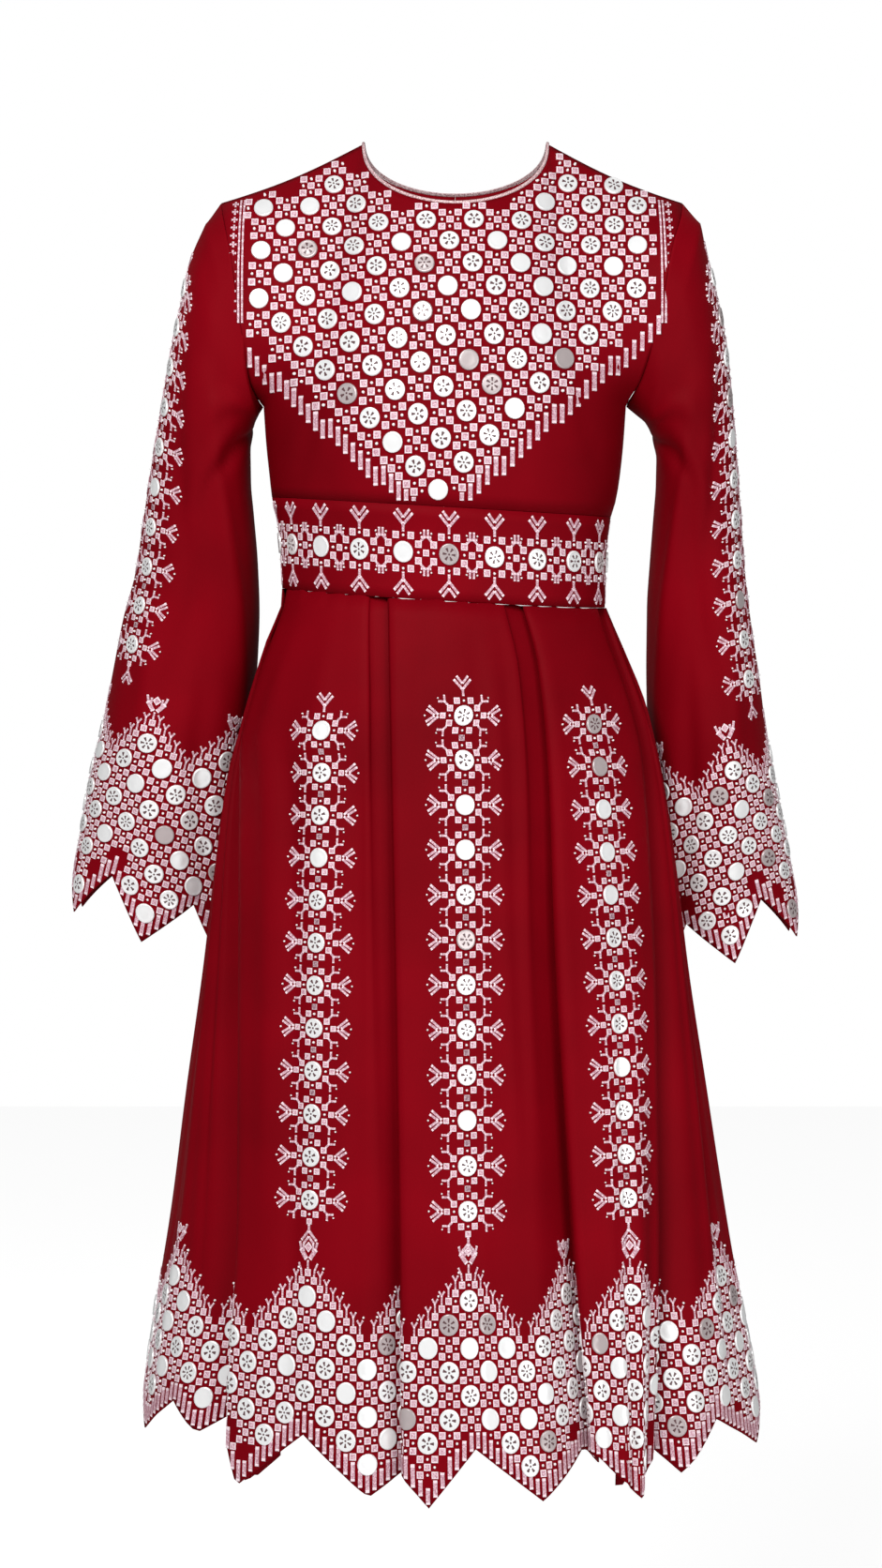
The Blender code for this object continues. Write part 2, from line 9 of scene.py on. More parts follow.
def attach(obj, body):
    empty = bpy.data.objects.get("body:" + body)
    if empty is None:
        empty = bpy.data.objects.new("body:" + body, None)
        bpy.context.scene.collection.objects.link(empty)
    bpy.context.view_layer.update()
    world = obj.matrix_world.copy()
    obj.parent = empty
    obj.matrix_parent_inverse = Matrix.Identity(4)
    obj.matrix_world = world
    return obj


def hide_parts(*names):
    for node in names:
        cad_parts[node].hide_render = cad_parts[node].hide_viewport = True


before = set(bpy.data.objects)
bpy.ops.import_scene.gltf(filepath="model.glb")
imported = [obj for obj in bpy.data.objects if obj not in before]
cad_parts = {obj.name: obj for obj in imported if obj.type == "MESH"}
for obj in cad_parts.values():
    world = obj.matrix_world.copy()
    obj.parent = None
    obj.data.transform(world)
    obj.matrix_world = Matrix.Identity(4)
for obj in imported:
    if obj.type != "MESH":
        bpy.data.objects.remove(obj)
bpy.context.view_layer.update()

print("stage: frame loaded")

# Camera: level with the waist, in front, tilted slightly down
cameraSettings = {
    "place": (-0.0092, -2.8, -0.45),
    "tiltDown": 1.964,
    "focalPixels": 3500.0,
    "imageHeight": 1672.0,
}


def makeCamera(settings):
    bpy.ops.object.camera_add(location=settings["place"])
    camera = bpy.context.object
    camera.name = "photoCamera"
    camera.rotation_euler = (math.radians(90 - settings["tiltDown"]), 0, 0)
    camera.data.sensor_fit = "VERTICAL"
    camera.data.angle_y = 2 * math.atan(settings["imageHeight"] / 2 / settings["focalPixels"])
    camera.data.clip_start = 0.1
    camera.data.clip_end = 30
    bpy.context.scene.camera = camera
    return camera


makeCamera(cameraSettings)

# Garment sizes, the same as the solids: metres, front is -Y, origin between the shoulders
wallCad = 0.0015
wallShown = 0.0011
waistZ = -0.3873
skirtLength = 0.703
bandHeight = 0.077

# height, half width, centre x, front depth, back depth
trunkRings = (
    (-0.400, 0.1374, -0.0070, 0.1020, 0.0950),
    (-0.387, 0.1374, -0.0070, 0.1020, 0.0950),
    (-0.350, 0.1385, -0.0070, 0.1040, 0.0950),
    (-0.325, 0.1410, -0.0070, 0.1080, 0.0960),
    (-0.304, 0.1463, -0.0065, 0.1140, 0.0980),
    (-0.280, 0.1495, -0.0060, 0.1190, 0.1000),
    (-0.255, 0.1520, -0.0060, 0.1220, 0.1020),
    (-0.225, 0.1540, -0.0060, 0.1220, 0.1030),
)

# share of the length, half width, centre x, front depth, back depth
skirtRings = (
    (-0.05, 0.1370, -0.0072, 0.1020, 0.0950),
    (0.000, 0.1374, -0.0072, 0.1020, 0.0950),
    (0.050, 0.1498, -0.0078, 0.1090, 0.1000),
    (0.147, 0.1725, -0.0060, 0.1210, 0.1120),
    (0.290, 0.1915, -0.0055, 0.1330, 0.1220),
    (0.453, 0.2057, -0.0052, 0.1440, 0.1300),
    (0.592, 0.2204, -0.0044, 0.1540, 0.1370),
    (0.744, 0.2362, -0.0027, 0.1640, 0.1440),
    (0.852, 0.2497, -0.0020, 0.1710, 0.1490),
    (0.958, 0.2629, -0.0010, 0.1770, 0.1540),
    (1.080, 0.2760, 0.0000, 0.1840, 0.1600),
)

# share of the length, x of each pleat's edge
leftSideEdge = ((0.0, -0.1400), (0.05, -0.1525), (0.117, -0.1690), (0.184, -0.1801),
                (0.707, -0.1796), (0.95, -0.1870), (1.08, -0.1900))
centreLeftEdge = ((0.0, -0.0527), (0.81, -0.0423), (1.0, -0.0410), (1.08, -0.0405))
centreRightEdge = ((0.0, 0.0575), (0.087, 0.0734), (0.225, 0.0824), (0.4, 0.0867),
                   (0.81, 0.1047), (0.98, 0.1158), (1.08, 0.1190))
rightSideEdge = ((0.0, 0.1200), (0.065, 0.1351), (0.11, 0.1470), (0.188, 0.1608),
                 (0.306, 0.1669), (0.455, 0.1713), (0.744, 0.1729), (0.99, 0.1672), (1.08, 0.1650))

# edge, overlap at waist and hem, sink at waist and hem, side of the top layer, near and far approach
leftSidePleat = (leftSideEdge, 0.008, 0.042, 0.0075, 0.026, 1, 0.028, 0.046)
centreLeftPleat = (centreLeftEdge, 0.008, 0.031, 0.0075, 0.028, 1, 0.018, 0.036)
centreRightPleat = (centreRightEdge, 0.008, 0.013, 0.0075, 0.030, 1, 0.018, 0.036)
rightSidePleat = (rightSideEdge, 0.008, 0.022, 0.0075, 0.034, -1, 0.021, 0.042)

# share of the length, x of each strip's centre line
leftStrip = ((0.0, -0.0990), (0.156, -0.1061), (0.704, -0.1161), (1.08, -0.1220))
centreStrip = ((0.0, 0.0050), (0.14, 0.0095), (0.707, 0.0124), (1.08, 0.0170))
rightStrip = ((0.0, 0.0920), (0.15, 0.1180), (0.7, 0.1431), (1.08, 0.1500))

# tips and notches of the hem: x, z across the front, then turn in degrees, z round the sides
hemFront = (
    (-0.1763, -1.1156), (-0.1215, -1.0686), (-0.0690, -1.1162), (-0.0415, -1.0980), (-0.0194, -1.1231),
    (0.0191, -1.0761), (0.0721, -1.1188), (0.1120, -1.0850), (0.1190, -1.0860), (0.1484, -1.1195),
)
hemLeft = (
    (-45.7, -1.0620), (-53.6, -1.0800), (-61.5, -1.0573), (-76.0, -1.0894), (-88.0, -1.0590),
    (-100.0, -1.0920), (-112.0, -1.0600), (-124.0, -1.0940), (-133.0, -1.0640), (-140.4, -1.0800),
)
hemRight = (
    (39.6, -1.0830), (46.5, -1.1090), (55.5, -1.0692), (73.6, -1.1001), (86.0, -1.0640),
    (98.0, -1.0970), (109.0, -1.0630), (120.0, -1.0950), (128.0, -1.0640), (134.3, -1.0820),
)
ridges = ((0.12, 0.0050), (0.33, 0.0120), (0.50, 0.0070), (0.68, 0.0150), (0.86, 0.0080))

# outer x, outer z, inner x, inner z, centre y, half depth
sleeveRingsRight = (
    (-0.2090, -0.0710, -0.1650, -0.2320, 0.002, 0.0560),
    (-0.2222, -0.1015, -0.1690, -0.2400, 0.004, 0.0570),
    (-0.2306, -0.1374, -0.1712, -0.2500, 0.008, 0.0580),
    (-0.2399, -0.1798, -0.1722, -0.2640, 0.012, 0.0590),
    (-0.2493, -0.2305, -0.1722, -0.2880, 0.018, 0.0590),
    (-0.2571, -0.2725, -0.1702, -0.3150, 0.024, 0.0590),
    (-0.2657, -0.3236, -0.1672, -0.3560, 0.032, 0.0590),
    (-0.2728, -0.3645, -0.1662, -0.3940, 0.040, 0.0595),
    (-0.2844, -0.4046, -0.1680, -0.4360, 0.048, 0.0600),
    (-0.2939, -0.4492, -0.1725, -0.4800, 0.054, 0.0610),
    (-0.3049, -0.5022, -0.1810, -0.5330, 0.060, 0.0630),
    (-0.3150, -0.5380, -0.1830, -0.5800, 0.068, 0.0630),
    (-0.3225, -0.5750, -0.1850, -0.6230, 0.077, 0.0620),
    (-0.3300, -0.6115, -0.1870, -0.6655, 0.085, 0.0610),
)
sleeveRingsLeft = (
    (0.2110, -0.0705, 0.1650, -0.2380, 0.002, 0.0560),
    (0.2165, -0.0960, 0.1700, -0.2460, 0.004, 0.0570),
    (0.2253, -0.1300, 0.1735, -0.2560, 0.008, 0.0580),
    (0.2335, -0.1700, 0.1752, -0.2700, 0.012, 0.0590),
    (0.2395, -0.2190, 0.1752, -0.2900, 0.018, 0.0590),
    (0.2440, -0.2640, 0.1735, -0.3180, 0.024, 0.0590),
    (0.2485, -0.3130, 0.1710, -0.3560, 0.032, 0.0590),
    (0.2530, -0.3640, 0.1690, -0.3960, 0.040, 0.0595),
    (0.2600, -0.4140, 0.1690, -0.4380, 0.048, 0.0600),
    (0.2669, -0.4541, 0.1700, -0.4820, 0.054, 0.0610),
    (0.2735, -0.5000, 0.1740, -0.5330, 0.060, 0.0630),
    (0.2830, -0.5480, 0.1760, -0.5850, 0.070, 0.0640),
    (0.2930, -0.5920, 0.1725, -0.6340, 0.082, 0.0620),
    (0.3020, -0.6340, 0.1700, -0.6810, 0.092, 0.0600),
)
cuffZigzag = 0.044

# share from shoulder tip to underarm, x on the wearer's right, x on the left, z, bulge in y
armhole = (
    (0.00, -0.1958, 0.1957, -0.0530, 0.000),
    (0.12, -0.1925, 0.1925, -0.0670, 0.024),
    (0.28, -0.1871, 0.1850, -0.0900, 0.045),
    (0.45, -0.1809, 0.1780, -0.1230, 0.056),
    (0.64, -0.1747, 0.1690, -0.1680, 0.055),
    (0.84, -0.1700, 0.1580, -0.2065, 0.038),
    (0.94, -0.1640, 0.1500, -0.2200, 0.018),
    (1.00, -0.1600, 0.1480, -0.2250, 0.000),
)
neck = {
    "half": 0.0795, "x": 0.0031, "z": -0.0038,
    "frontDrop": 0.0600, "backDrop": 0.0360, "frontReach": 0.0750, "backReach": 0.0550,
}


def at(rows, key, column):
    if key <= rows[0][0]:
        return rows[0][column]
    for low, high in zip(rows, rows[1:]):
        if key <= high[0]:
            share = (key - low[0]) / (high[0] - low[0])
            return low[column] + share * (high[column] - low[column])
    return rows[-1][column]


def flowing(rows, key, column):
    # Value of one column at a key, on a smooth curve through the rows
    count = len(rows)
    if key <= rows[0][0]:
        return rows[0][column]
    if key >= rows[-1][0]:
        return rows[-1][column]
    i = 0
    while rows[i + 1][0] < key:
        i += 1

    def slope(k):
        if k == 0 or k == count - 1:
            a, b = (0, 1) if k == 0 else (count - 2, count - 1)
            return (rows[b][column] - rows[a][column]) / (rows[b][0] - rows[a][0])
        before = (rows[k][column] - rows[k - 1][column]) / (rows[k][0] - rows[k - 1][0])
        after = (rows[k + 1][column] - rows[k][column]) / (rows[k + 1][0] - rows[k][0])
        if before * after <= 0:
            return 0.0
        return 2 * before * after / (before + after)

    width = rows[i + 1][0] - rows[i][0]
    s = (key - rows[i][0]) / width
    a, b = rows[i][column], rows[i + 1][column]
    return (a * (2 * s ** 3 - 3 * s ** 2 + 1) + b * (3 * s ** 2 - 2 * s ** 3)
            + slope(i) * width * (s ** 3 - 2 * s ** 2 + s) + slope(i + 1) * width * (s ** 3 - s ** 2))


def ease(value):
    value = min(1.0, max(0.0, value))
    return value * value * (3 - 2 * value)


# Trunk surfaces

def waistHeight(turn):
    return waistZ - 0.0083 * math.sin(turn) - 0.005 * max(0.0, math.cos(turn))


def trunkPoint(turn, z):
    half = flowing(trunkRings, z, 1)
    centre = flowing(trunkRings, z, 2)
    depth = flowing(trunkRings, z, 3) if math.cos(turn) > 0 else flowing(trunkRings, z, 4)
    return Vector((centre + half * math.sin(turn), -depth * math.cos(turn), z))


def armholePoint(share, side, front):
    column = 1 if side < 0 else 2
    bulge = flowing(armhole, share, 4)
    return Vector((flowing(armhole, share, column), front * bulge, flowing(armhole, share, 3)))


def neckPoint(share, front):
    drop = neck["frontDrop"] if front < 0 else neck["backDrop"]
    reach = neck["frontReach"] if front < 0 else neck["backReach"]
    angle = share * math.pi / 2
    fall = math.cos(angle)
    return Vector((neck["x"] + neck["half"] * math.sin(angle), front * reach * fall,
                   neck["z"] - drop * max(0.0, fall) ** 0.9))


def topEdge(s, front):
    if abs(s) <= 0.5:
        return neckPoint(s * 2, front)
    side = -1 if s < 0 else 1
    share = (abs(s) - 0.5) * 2
    point = neckPoint(side, front).lerp(armholePoint(0, side, front), share)
    point.z -= 0.004 * math.sin(share * math.pi)
    return point


def upperPoint(s, t, front):
    turn = s * math.pi / 2
    lowLeft = armholePoint(1, -1, front)
    lowRight = armholePoint(1, 1, front)
    zLow = lowLeft.z + (lowRight.z - lowLeft.z) * (s + 1) / 2

    def bottom(value):
        point = trunkPoint(value * math.pi / 2, zLow)
        point.y *= -front
        edge = lowLeft if value < 0 else lowRight
        point.x += (edge.x - trunkPoint(math.copysign(math.pi / 2, value), zLow).x) * ease(abs(value))
        if front > 0:
            point.y *= at(trunkRings, zLow, 4) / at(trunkRings, zLow, 3)
        return point

    blend = t ** 0.9
    swell = 0.013 * math.sin(math.pi * t) * math.cos(turn) * (1 if front < 0 else 0.5)
    point = bottom(s).lerp(topEdge(s, front), blend)
    near = abs(s) ** 2.4
    side = -1 if s < 0 else 1
    edge = armholePoint(1 - t, side, front)
    point += (edge - bottom(side).lerp(topEdge(side, front), blend)) * near
    point.y += front * swell
    return point


# Soft folds of the bodice front: x, z, half length, half width, lean, depth
bodiceFolds = (
    (-0.118, -0.255, 0.040, 0.0065, 0.30, 0.0022),
    (-0.098, -0.272, 0.030, 0.0060, 0.45, 0.0014),
    (0.112, -0.250, 0.034, 0.0060, -0.35, 0.0020),
    (0.094, -0.276, 0.028, 0.0055, -0.50, 0.0013),
    (-0.136, -0.215, 0.026, 0.0060, -0.50, 0.0018),
    (-0.045, -0.295, 0.020, 0.0090, 0.20, 0.0010),
    (0.052, -0.292, 0.018, 0.0080, -0.25, 0.0010),
)


def bodiceGrid(front, settings):
    acrossSteps = settings["across"]
    upSteps = settings["up"]
    lowSteps = settings["low"]
    rows = []
    for level in range(lowSteps):
        row = []
        for i in range(acrossSteps + 1):
            s = -1 + 2 * i / acrossSteps
            turn = s * math.pi / 2 if front < 0 else math.pi - s * math.pi / 2
            lowest = waistHeight(turn) + bandHeight + 0.0002
            lowLeft = armhole[-1][3]
            z = lowest + (lowLeft - 0.012 - lowest) * level / (lowSteps - 1)
            row.append(trunkPoint(turn, z))
        rows.append(row)
    for k in range(upSteps + 1):
        t = k / upSteps
        rows.append([upperPoint(-1 + 2 * i / acrossSteps, t, front) for i in range(acrossSteps + 1)])
    return rows


def gridNormals(grid, wrap=False):
    array = np.array([[tuple(p) for p in row] for row in grid])
    if wrap:
        array = np.concatenate([array, array[:, :1]], axis=1)
    across = array[1:, 1:] - array[:-1, :-1]
    other = array[1:, :-1] - array[:-1, 1:]
    faces = np.cross(across, other)
    total = np.zeros_like(array)
    total[:-1, :-1] += faces
    total[1:, :-1] += faces
    total[:-1, 1:] += faces
    total[1:, 1:] += faces
    if wrap:
        seam = total[:, 0] + total[:, -1]
        total[:, 0] = seam
        total = total[:, :-1]
    length = np.linalg.norm(total, axis=2, keepdims=True)
    return total / np.maximum(length, 1e-12)


def clothMesh(name, outer, inner, wrap=False):
    # A thin closed shell between two grids of points
    rows, columns = outer.shape[:2]
    count = rows * columns
    points = np.concatenate([outer.reshape(-1, 3), inner.reshape(-1, 3)])
    faces = []
    last = columns if wrap else columns - 1

    def corner(layer, r, c):
        return layer * count + r * columns + (c % columns)

    for r in range(rows - 1):
        for c in range(last):
            faces.append((corner(0, r, c), corner(0, r, c + 1),
                          corner(0, r + 1, c + 1), corner(0, r + 1, c)))
            faces.append((corner(1, r, c), corner(1, r + 1, c),
                          corner(1, r + 1, c + 1), corner(1, r, c + 1)))
    end = rows - 1
    for c in range(last):
        faces.append((corner(0, 0, c), corner(1, 0, c), corner(1, 0, c + 1), corner(0, 0, c + 1)))
        faces.append((corner(0, end, c), corner(0, end, c + 1), corner(1, end, c + 1), corner(1, end, c)))
    if not wrap:
        side = columns - 1
        for r in range(rows - 1):
            faces.append((corner(0, r, 0), corner(0, r + 1, 0), corner(1, r + 1, 0), corner(1, r, 0)))
            faces.append((corner(0, r, side), corner(1, r, side),
                          corner(1, r + 1, side), corner(0, r + 1, side)))
    mesh = bpy.data.meshes.new(name)
    mesh.from_pydata(points.tolist(), [], faces)
    mesh.update()
    for polygon in mesh.polygons:
        polygon.use_smooth = True
    thing = bpy.data.objects.new(name, mesh)
    bpy.context.scene.collection.objects.link(thing)
    return thing


# Skirt surface

def halfTurn(lines):
    return [(turn + math.pi, depth) for turn, depth in lines]


def turnAt(x, t):
    share = (x - flowing(skirtRings, t, 2)) / flowing(skirtRings, t, 1)
    return math.asin(max(-0.999, min(0.999, share)))


def turnStep(turn, length, t):
    half = flowing(skirtRings, t, 1)
    reach = flowing(skirtRings, t, 3 if math.cos(turn) > 0 else 4)
    return length / math.hypot(half * math.cos(turn), reach * math.sin(turn))


def pleatLines(pleat, t):
    # Columns of a pleat from its lower layer to its top layer, as turn and depth
    edge, overTop, overLow, sinkTop, sinkLow, lies, near, far = pleat
    fall = min(1.0, max(0.0, t)) ** 0.8
    overlap = overTop + (overLow - overTop) * fall
    sink = sinkTop + (sinkLow - sinkTop) * fall
    fold = 0.0022 + 0.0015 * fall
    turn = turnAt(flowing(edge, t, 1), t)
    steps = (
        (-far * (0.5 + 0.5 * fall), 0.03), (-near, 0.38), (0.0, 0.84), (0.6 * overlap, 1.0),
        (overlap - fold, 0.97), (overlap, 0.82), (overlap - fold, 0.66), (0.55 * overlap, 0.60),
        (0.2 * overlap, 0.46), (fold * 0.6, 0.36), (0.0, 0.19), (fold * 0.8, 0.03), (0.012, 0.0),
    )
    lines = [(turn + turnStep(turn, lies * reach, t), share * sink) for reach, share in steps]
    return lines if lies > 0 else list(reversed(lines))


def hemTurns():
    front = [(turnAt(x, 1.0), z) for x, z in hemFront]
    left = [(math.radians(turn), z) for turn, z in hemLeft]
    right = [(math.radians(turn), z) for turn, z in hemRight]
    back = [(turn + math.pi, z) for turn, z in front]
    behind = [(turn + 2 * math.pi, z) for turn, z in left]
    return sorted(left + front + right + back + behind)


hemMarks = hemTurns()


def hemHeight(turn):
    while turn > hemMarks[-1][0]:
        turn -= 2 * math.pi
    while turn < hemMarks[0][0]:
        turn += 2 * math.pi
    return at(hemMarks, turn, 1)


def panelLines(before, after, beforeHem, afterHem):
    low, high = before[-1][0], after[0][0]
    lowHem, highHem = beforeHem[-1][0], afterHem[0][0]
    marks = [turn for turn, z in hemMarks if lowHem + 0.012 < turn < highHem - 0.012]
    stops = [lowHem] + marks + [highHem]
    shares = []
    for first, second in zip(stops, stops[1:]):
        if second - first > 0.16:
            shares.append(((first + second) / 2 - lowHem) / (highHem - lowHem))
        if second != highHem:
            shares.append((second - lowHem) / (highHem - lowHem))
    return [(low + (high - low) * share, 0.0) for share in shares]


def frontPleats(t):
    pleats = (leftSidePleat, centreLeftPleat, centreRightPleat, rightSidePleat)
    return [pleatLines(pleat, t) for pleat in pleats]


def frontLines(t):
    # Columns of the skirt front, and where its three panels begin and end among them
    left, centre, right, last = frontPleats(t)
    leftHem, centreHem, rightHem = frontPleats(1.0)[:3]
    lines = left[5:]
    spans = [len(lines) - 3]
    lines += panelLines(left, centre, leftHem, centreHem)
    spans.append(len(lines) + 1)
    lines += centre
    spans.append(len(lines) - 3)
    lines += panelLines(centre, right, centreHem, rightHem)
    spans.append(len(lines) + 1)
    lines += right
    spans.append(len(lines) - 3)
    low, high = right[-1][0], last[0][0]
    grow = max(0.0, (t - 0.2) / 0.8) ** 1.2
    for share, rise in ridges:
        lines.append((low + (high - low) * share, -rise * grow))
    spans.append(len(lines) + 2)
    lines += last[:8]
    return lines, spans


def sideLines(t, quarter):
    first = pleatLines(rightSidePleat, t)[7:]
    firstHem = pleatLines(rightSidePleat, 1.0)[7:]
    last = halfTurn(pleatLines(leftSidePleat, t)[:6])
    lastHem = halfTurn(pleatLines(leftSidePleat, 1.0)[:6])
    if quarter:
        first, firstHem, last, lastHem = [halfTurn(part) for part in (first, firstHem, last, lastHem)]
    return first + panelLines(first, last, firstHem, lastHem) + last


def ringLines(t):
    front, spans = frontLines(t)
    right = sideLines(t, 0)
    left = sideLines(t, 1)
    ring = front[:-1] + right[:-1] + halfTurn(front)[:-1] + left[:-1]
    seams = (0, len(front) - 1, len(front) + len(right) - 2, 2 * len(front) + len(right) - 3)
    return ring, seams, spans


def ringPlan(t):
    # Centre line of the skirt's cloth in plan at share t of its length
    ring = ringLines(t)[0]
    half, centre = flowing(skirtRings, t, 1), flowing(skirtRings, t, 2)
    points = []
    for turn, depth in ring:
        reach = flowing(skirtRings, t, 3 if math.cos(turn) > 0 else 4)
        place = np.array((centre + half * math.sin(turn), -reach * math.cos(turn)))
        outward = np.array((reach * math.sin(turn), -half * math.cos(turn)))
        outward /= np.linalg.norm(outward)
        points.append(place - outward * (depth + wallCad / 2))
    return np.array(points)


hemPlan = ringPlan(1.0)
hemRing, seamColumns, panelSpans = ringLines(1.0)
spanSteps = [max(1, int(round(np.linalg.norm(hemPlan[(i + 1) % len(hemPlan)] - hemPlan[i]) / 0.0055)))
             for i in range(len(hemPlan))]
fineStart = [0]
for steps in spanSteps:
    fineStart.append(fineStart[-1] + steps)


def finePlan(t):
    # The same line with more points, rounded through the columns
    plan = ringPlan(t)
    count = len(plan)
    result = []
    for i in range(count):
        p0, p1, p2, p3 = plan[i - 1], plan[i], plan[(i + 1) % count], plan[(i + 2) % count]
        steps = spanSteps[i]
        chord = np.linalg.norm(p2 - p1)
        ahead = (p2 - p0) / max(1e-6, np.linalg.norm(p2 - p0)) * chord
        behind = (p3 - p1) / max(1e-6, np.linalg.norm(p3 - p1)) * chord
        for k in range(steps):
            s = k / steps
            result.append(p1 * (2 * s ** 3 - 3 * s ** 2 + 1) + p2 * (3 * s ** 2 - 2 * s ** 3)
                          + ahead * (s ** 3 - 2 * s ** 2 + s) + behind * (s ** 3 - s ** 2))
    return np.array(result)


fineTurn = []
for i, (turn, depth) in enumerate(hemRing):
    following = hemRing[(i + 1) % len(hemRing)][0]
    if i == len(hemRing) - 1:
        following += 2 * math.pi
    for k in range(spanSteps[i]):
        fineTurn.append(turn + (following - turn) * k / spanSteps[i])
fineTurn = np.array(fineTurn)

# Long soft folds of the skirt: turn at the hem in degrees, top and bottom share, width in degrees, height
skirtFolds = (
    (-36.0, 0.02, 0.75, 2.4, 0.0016), (-31.0, 0.10, 1.0, 2.2, -0.0022), (-25.0, 0.00, 0.55, 1.8, 0.0010),
    (-18.5, 0.15, 1.0, 2.0, -0.0016), (-14.0, 0.02, 0.9, 1.8, 0.0014), (-4.0, 0.0, 0.6, 2.4, -0.0010),
    (1.0, 0.25, 1.0, 2.2, 0.0014), (7.5, 0.02, 1.0, 1.8, -0.0022), (12.0, 0.05, 0.8, 2.2, 0.0016),
    (17.0, 0.0, 0.7, 1.6, -0.0014), (29.0, 0.0, 0.65, 1.6, 0.0016), (34.0, 0.05, 0.7, 1.5, -0.0014),
    (-58.0, 0.05, 1.0, 2.6, -0.0026), (-68.0, 0.1, 1.0, 3.0, 0.0020), (-80.0, 0.05, 0.9, 3.2, -0.0018),
    (56.0, 0.1, 1.0, 2.6, 0.0022), (64.0, 0.02, 0.9, 2.6, -0.0024), (78.0, 0.1, 1.0, 3.2, 0.0016),
    (96.0, 0.0, 0.9, 3.4, 0.0020), (108.0, 0.1, 1.0, 3.0, -0.0022), (124.0, 0.05, 0.8, 2.6, 0.0018),
    (146.0, 0.05, 1.0, 2.4, -0.0018), (156.0, 0.0, 0.8, 2.0, 0.0014), (172.0, 0.1, 1.0, 2.4, 0.0018),
    (184.0, 0.0, 0.7, 2.2, -0.0016), (200.0, 0.1, 1.0, 2.2, 0.0016), (212.0, 0.0, 0.8, 2.0, -0.0014),
    (236.0, 0.1, 1.0, 3.0, 0.0020), (250.0, 0.0, 0.9, 3.0, -0.0022), (264.0, 0.1, 1.0, 3.2, 0.0016),
)


def skirtSway(t):
    degrees = np.degrees(fineTurn)
    total = np.zeros(len(fineTurn))
    for turn, top, bottom, width, height in skirtFolds:
        rise = ease((t - top) / 0.12) * (1 - 0.8 * ease((t - bottom + 0.15) / 0.15))
        lean = turn + 1.5 * math.sin(3.0 * t + turn)
        gap = (degrees - lean + 180) % 360 - 180
        total += 1.5 * rise * height * np.exp(-(gap / width) ** 2)
    return total


def skirtRow(t):
    # Outer and inner points of the skirt's cloth in plan at share t
    plan = finePlan(t)
    before = plan - np.roll(plan, 1, axis=0)
    after = np.roll(plan, -1, axis=0) - plan
    before /= np.maximum(1e-9, np.linalg.norm(before, axis=1, keepdims=True))
    after /= np.maximum(1e-9, np.linalg.norm(after, axis=1, keepdims=True))
    a = np.stack([before[:, 1], -before[:, 0]], axis=1)
    b = np.stack([after[:, 1], -after[:, 0]], axis=1)
    middle = a + b
    middle /= np.maximum(1e-6, np.linalg.norm(middle, axis=1, keepdims=True))
    stretch = 1 / np.maximum(0.62, (middle * a).sum(axis=1, keepdims=True))
    offset = middle * stretch
    sway = skirtSway(t)[:, None]
    outer = plan + offset * (wallCad / 2) + middle * sway
    inner = plan + offset * (wallCad / 2 - wallShown) + middle * sway
    return outer, inner


skirtSettings = {"rows": 46}


def buildSkirt(settings):
    rows = settings["rows"]
    count = len(fineTurn)
    hems = np.array([hemHeight(turn) for turn in fineTurn])
    waistRing = ringLines(0.0)[0]
    tops = []
    for i, (turn, depth) in enumerate(waistRing):
        for k in range(spanSteps[i]):
            tops.append(waistHeight(turn) - 0.0004)
    tops = np.array(tops)
    levels = 150
    lowest = (waistZ - hems.min()) / skirtLength + 0.01
    cacheOuter, cacheInner = [], []
    for k in range(levels + 1):
        outer, inner = skirtRow(lowest * k / levels)
        cacheOuter.append(outer)
        cacheInner.append(inner)
    cacheOuter = np.array(cacheOuter)
    cacheInner = np.array(cacheInner)
    index = np.arange(count)
    outerGrid, innerGrid = [], []
    for r in range(rows + 1):
        share = 1 - r / rows
        z = tops + (hems - tops) * share
        level = np.clip((waistZ - z) / skirtLength / lowest * levels, 0, levels - 1e-6)
        low = level.astype(int)
        part = (level - low)[:, None]
        outer = cacheOuter[low, index] * (1 - part) + cacheOuter[low + 1, index] * part
        inner = cacheInner[low, index] * (1 - part) + cacheInner[low + 1, index] * part
        outerGrid.append(np.concatenate([outer, z[:, None]], axis=1))
        innerGrid.append(np.concatenate([inner, z[:, None]], axis=1))
    outerGrid = np.array(outerGrid)
    innerGrid = np.array(innerGrid)
    pieces = []
    names = (("skirtFront", "skirt_front"), ("skirtLeft", "skirt_left"), ("skirtBack", "skirt_back"),
             ("skirtRight", "skirt_right"))
    ends = [fineStart[c] for c in seamColumns] + [count]
    for k, (name, node) in enumerate(names):
        columns = [c % count for c in range(ends[k], ends[k + 1] + 1)]
        outer = outerGrid[:, columns].copy()
        inner = innerGrid[:, columns].copy()
        for layer in (outer, inner):
            first = layer[:, 1] - layer[:, 0]
            layer[:, 0] += first / np.linalg.norm(first, axis=1, keepdims=True) * 0.0002
            last = layer[:, -2] - layer[:, -1]
            layer[:, -1] += last / np.linalg.norm(last, axis=1, keepdims=True) * 0.0002
        piece = clothMesh(name, outer, inner)
        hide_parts(node)
        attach(piece, "root")
        pieces.append(piece)
    return pieces


skirtPieces = buildSkirt(skirtSettings)
print("stage: skirt made")

bodiceSettings = {"across": 64, "up": 34, "low": 8}


def foldedBodice(grid, front):
    array = np.array([[tuple(p) for p in row] for row in grid])
    normals = gridNormals(grid)
    if front > 0:
        return array, -normals
    for x, z, half, width, lean, depth in bodiceFolds:
        dx = array[:, :, 0] - x
        dz = array[:, :, 2] - z
        along = dz * math.cos(lean) + dx * math.sin(lean)
        across = dx * math.cos(lean) - dz * math.sin(lean)
        dip = depth * np.exp(-(across / width) ** 2) * np.exp(-(along / half) ** 2)
        array = array - normals * dip[:, :, None]
    return array, normals


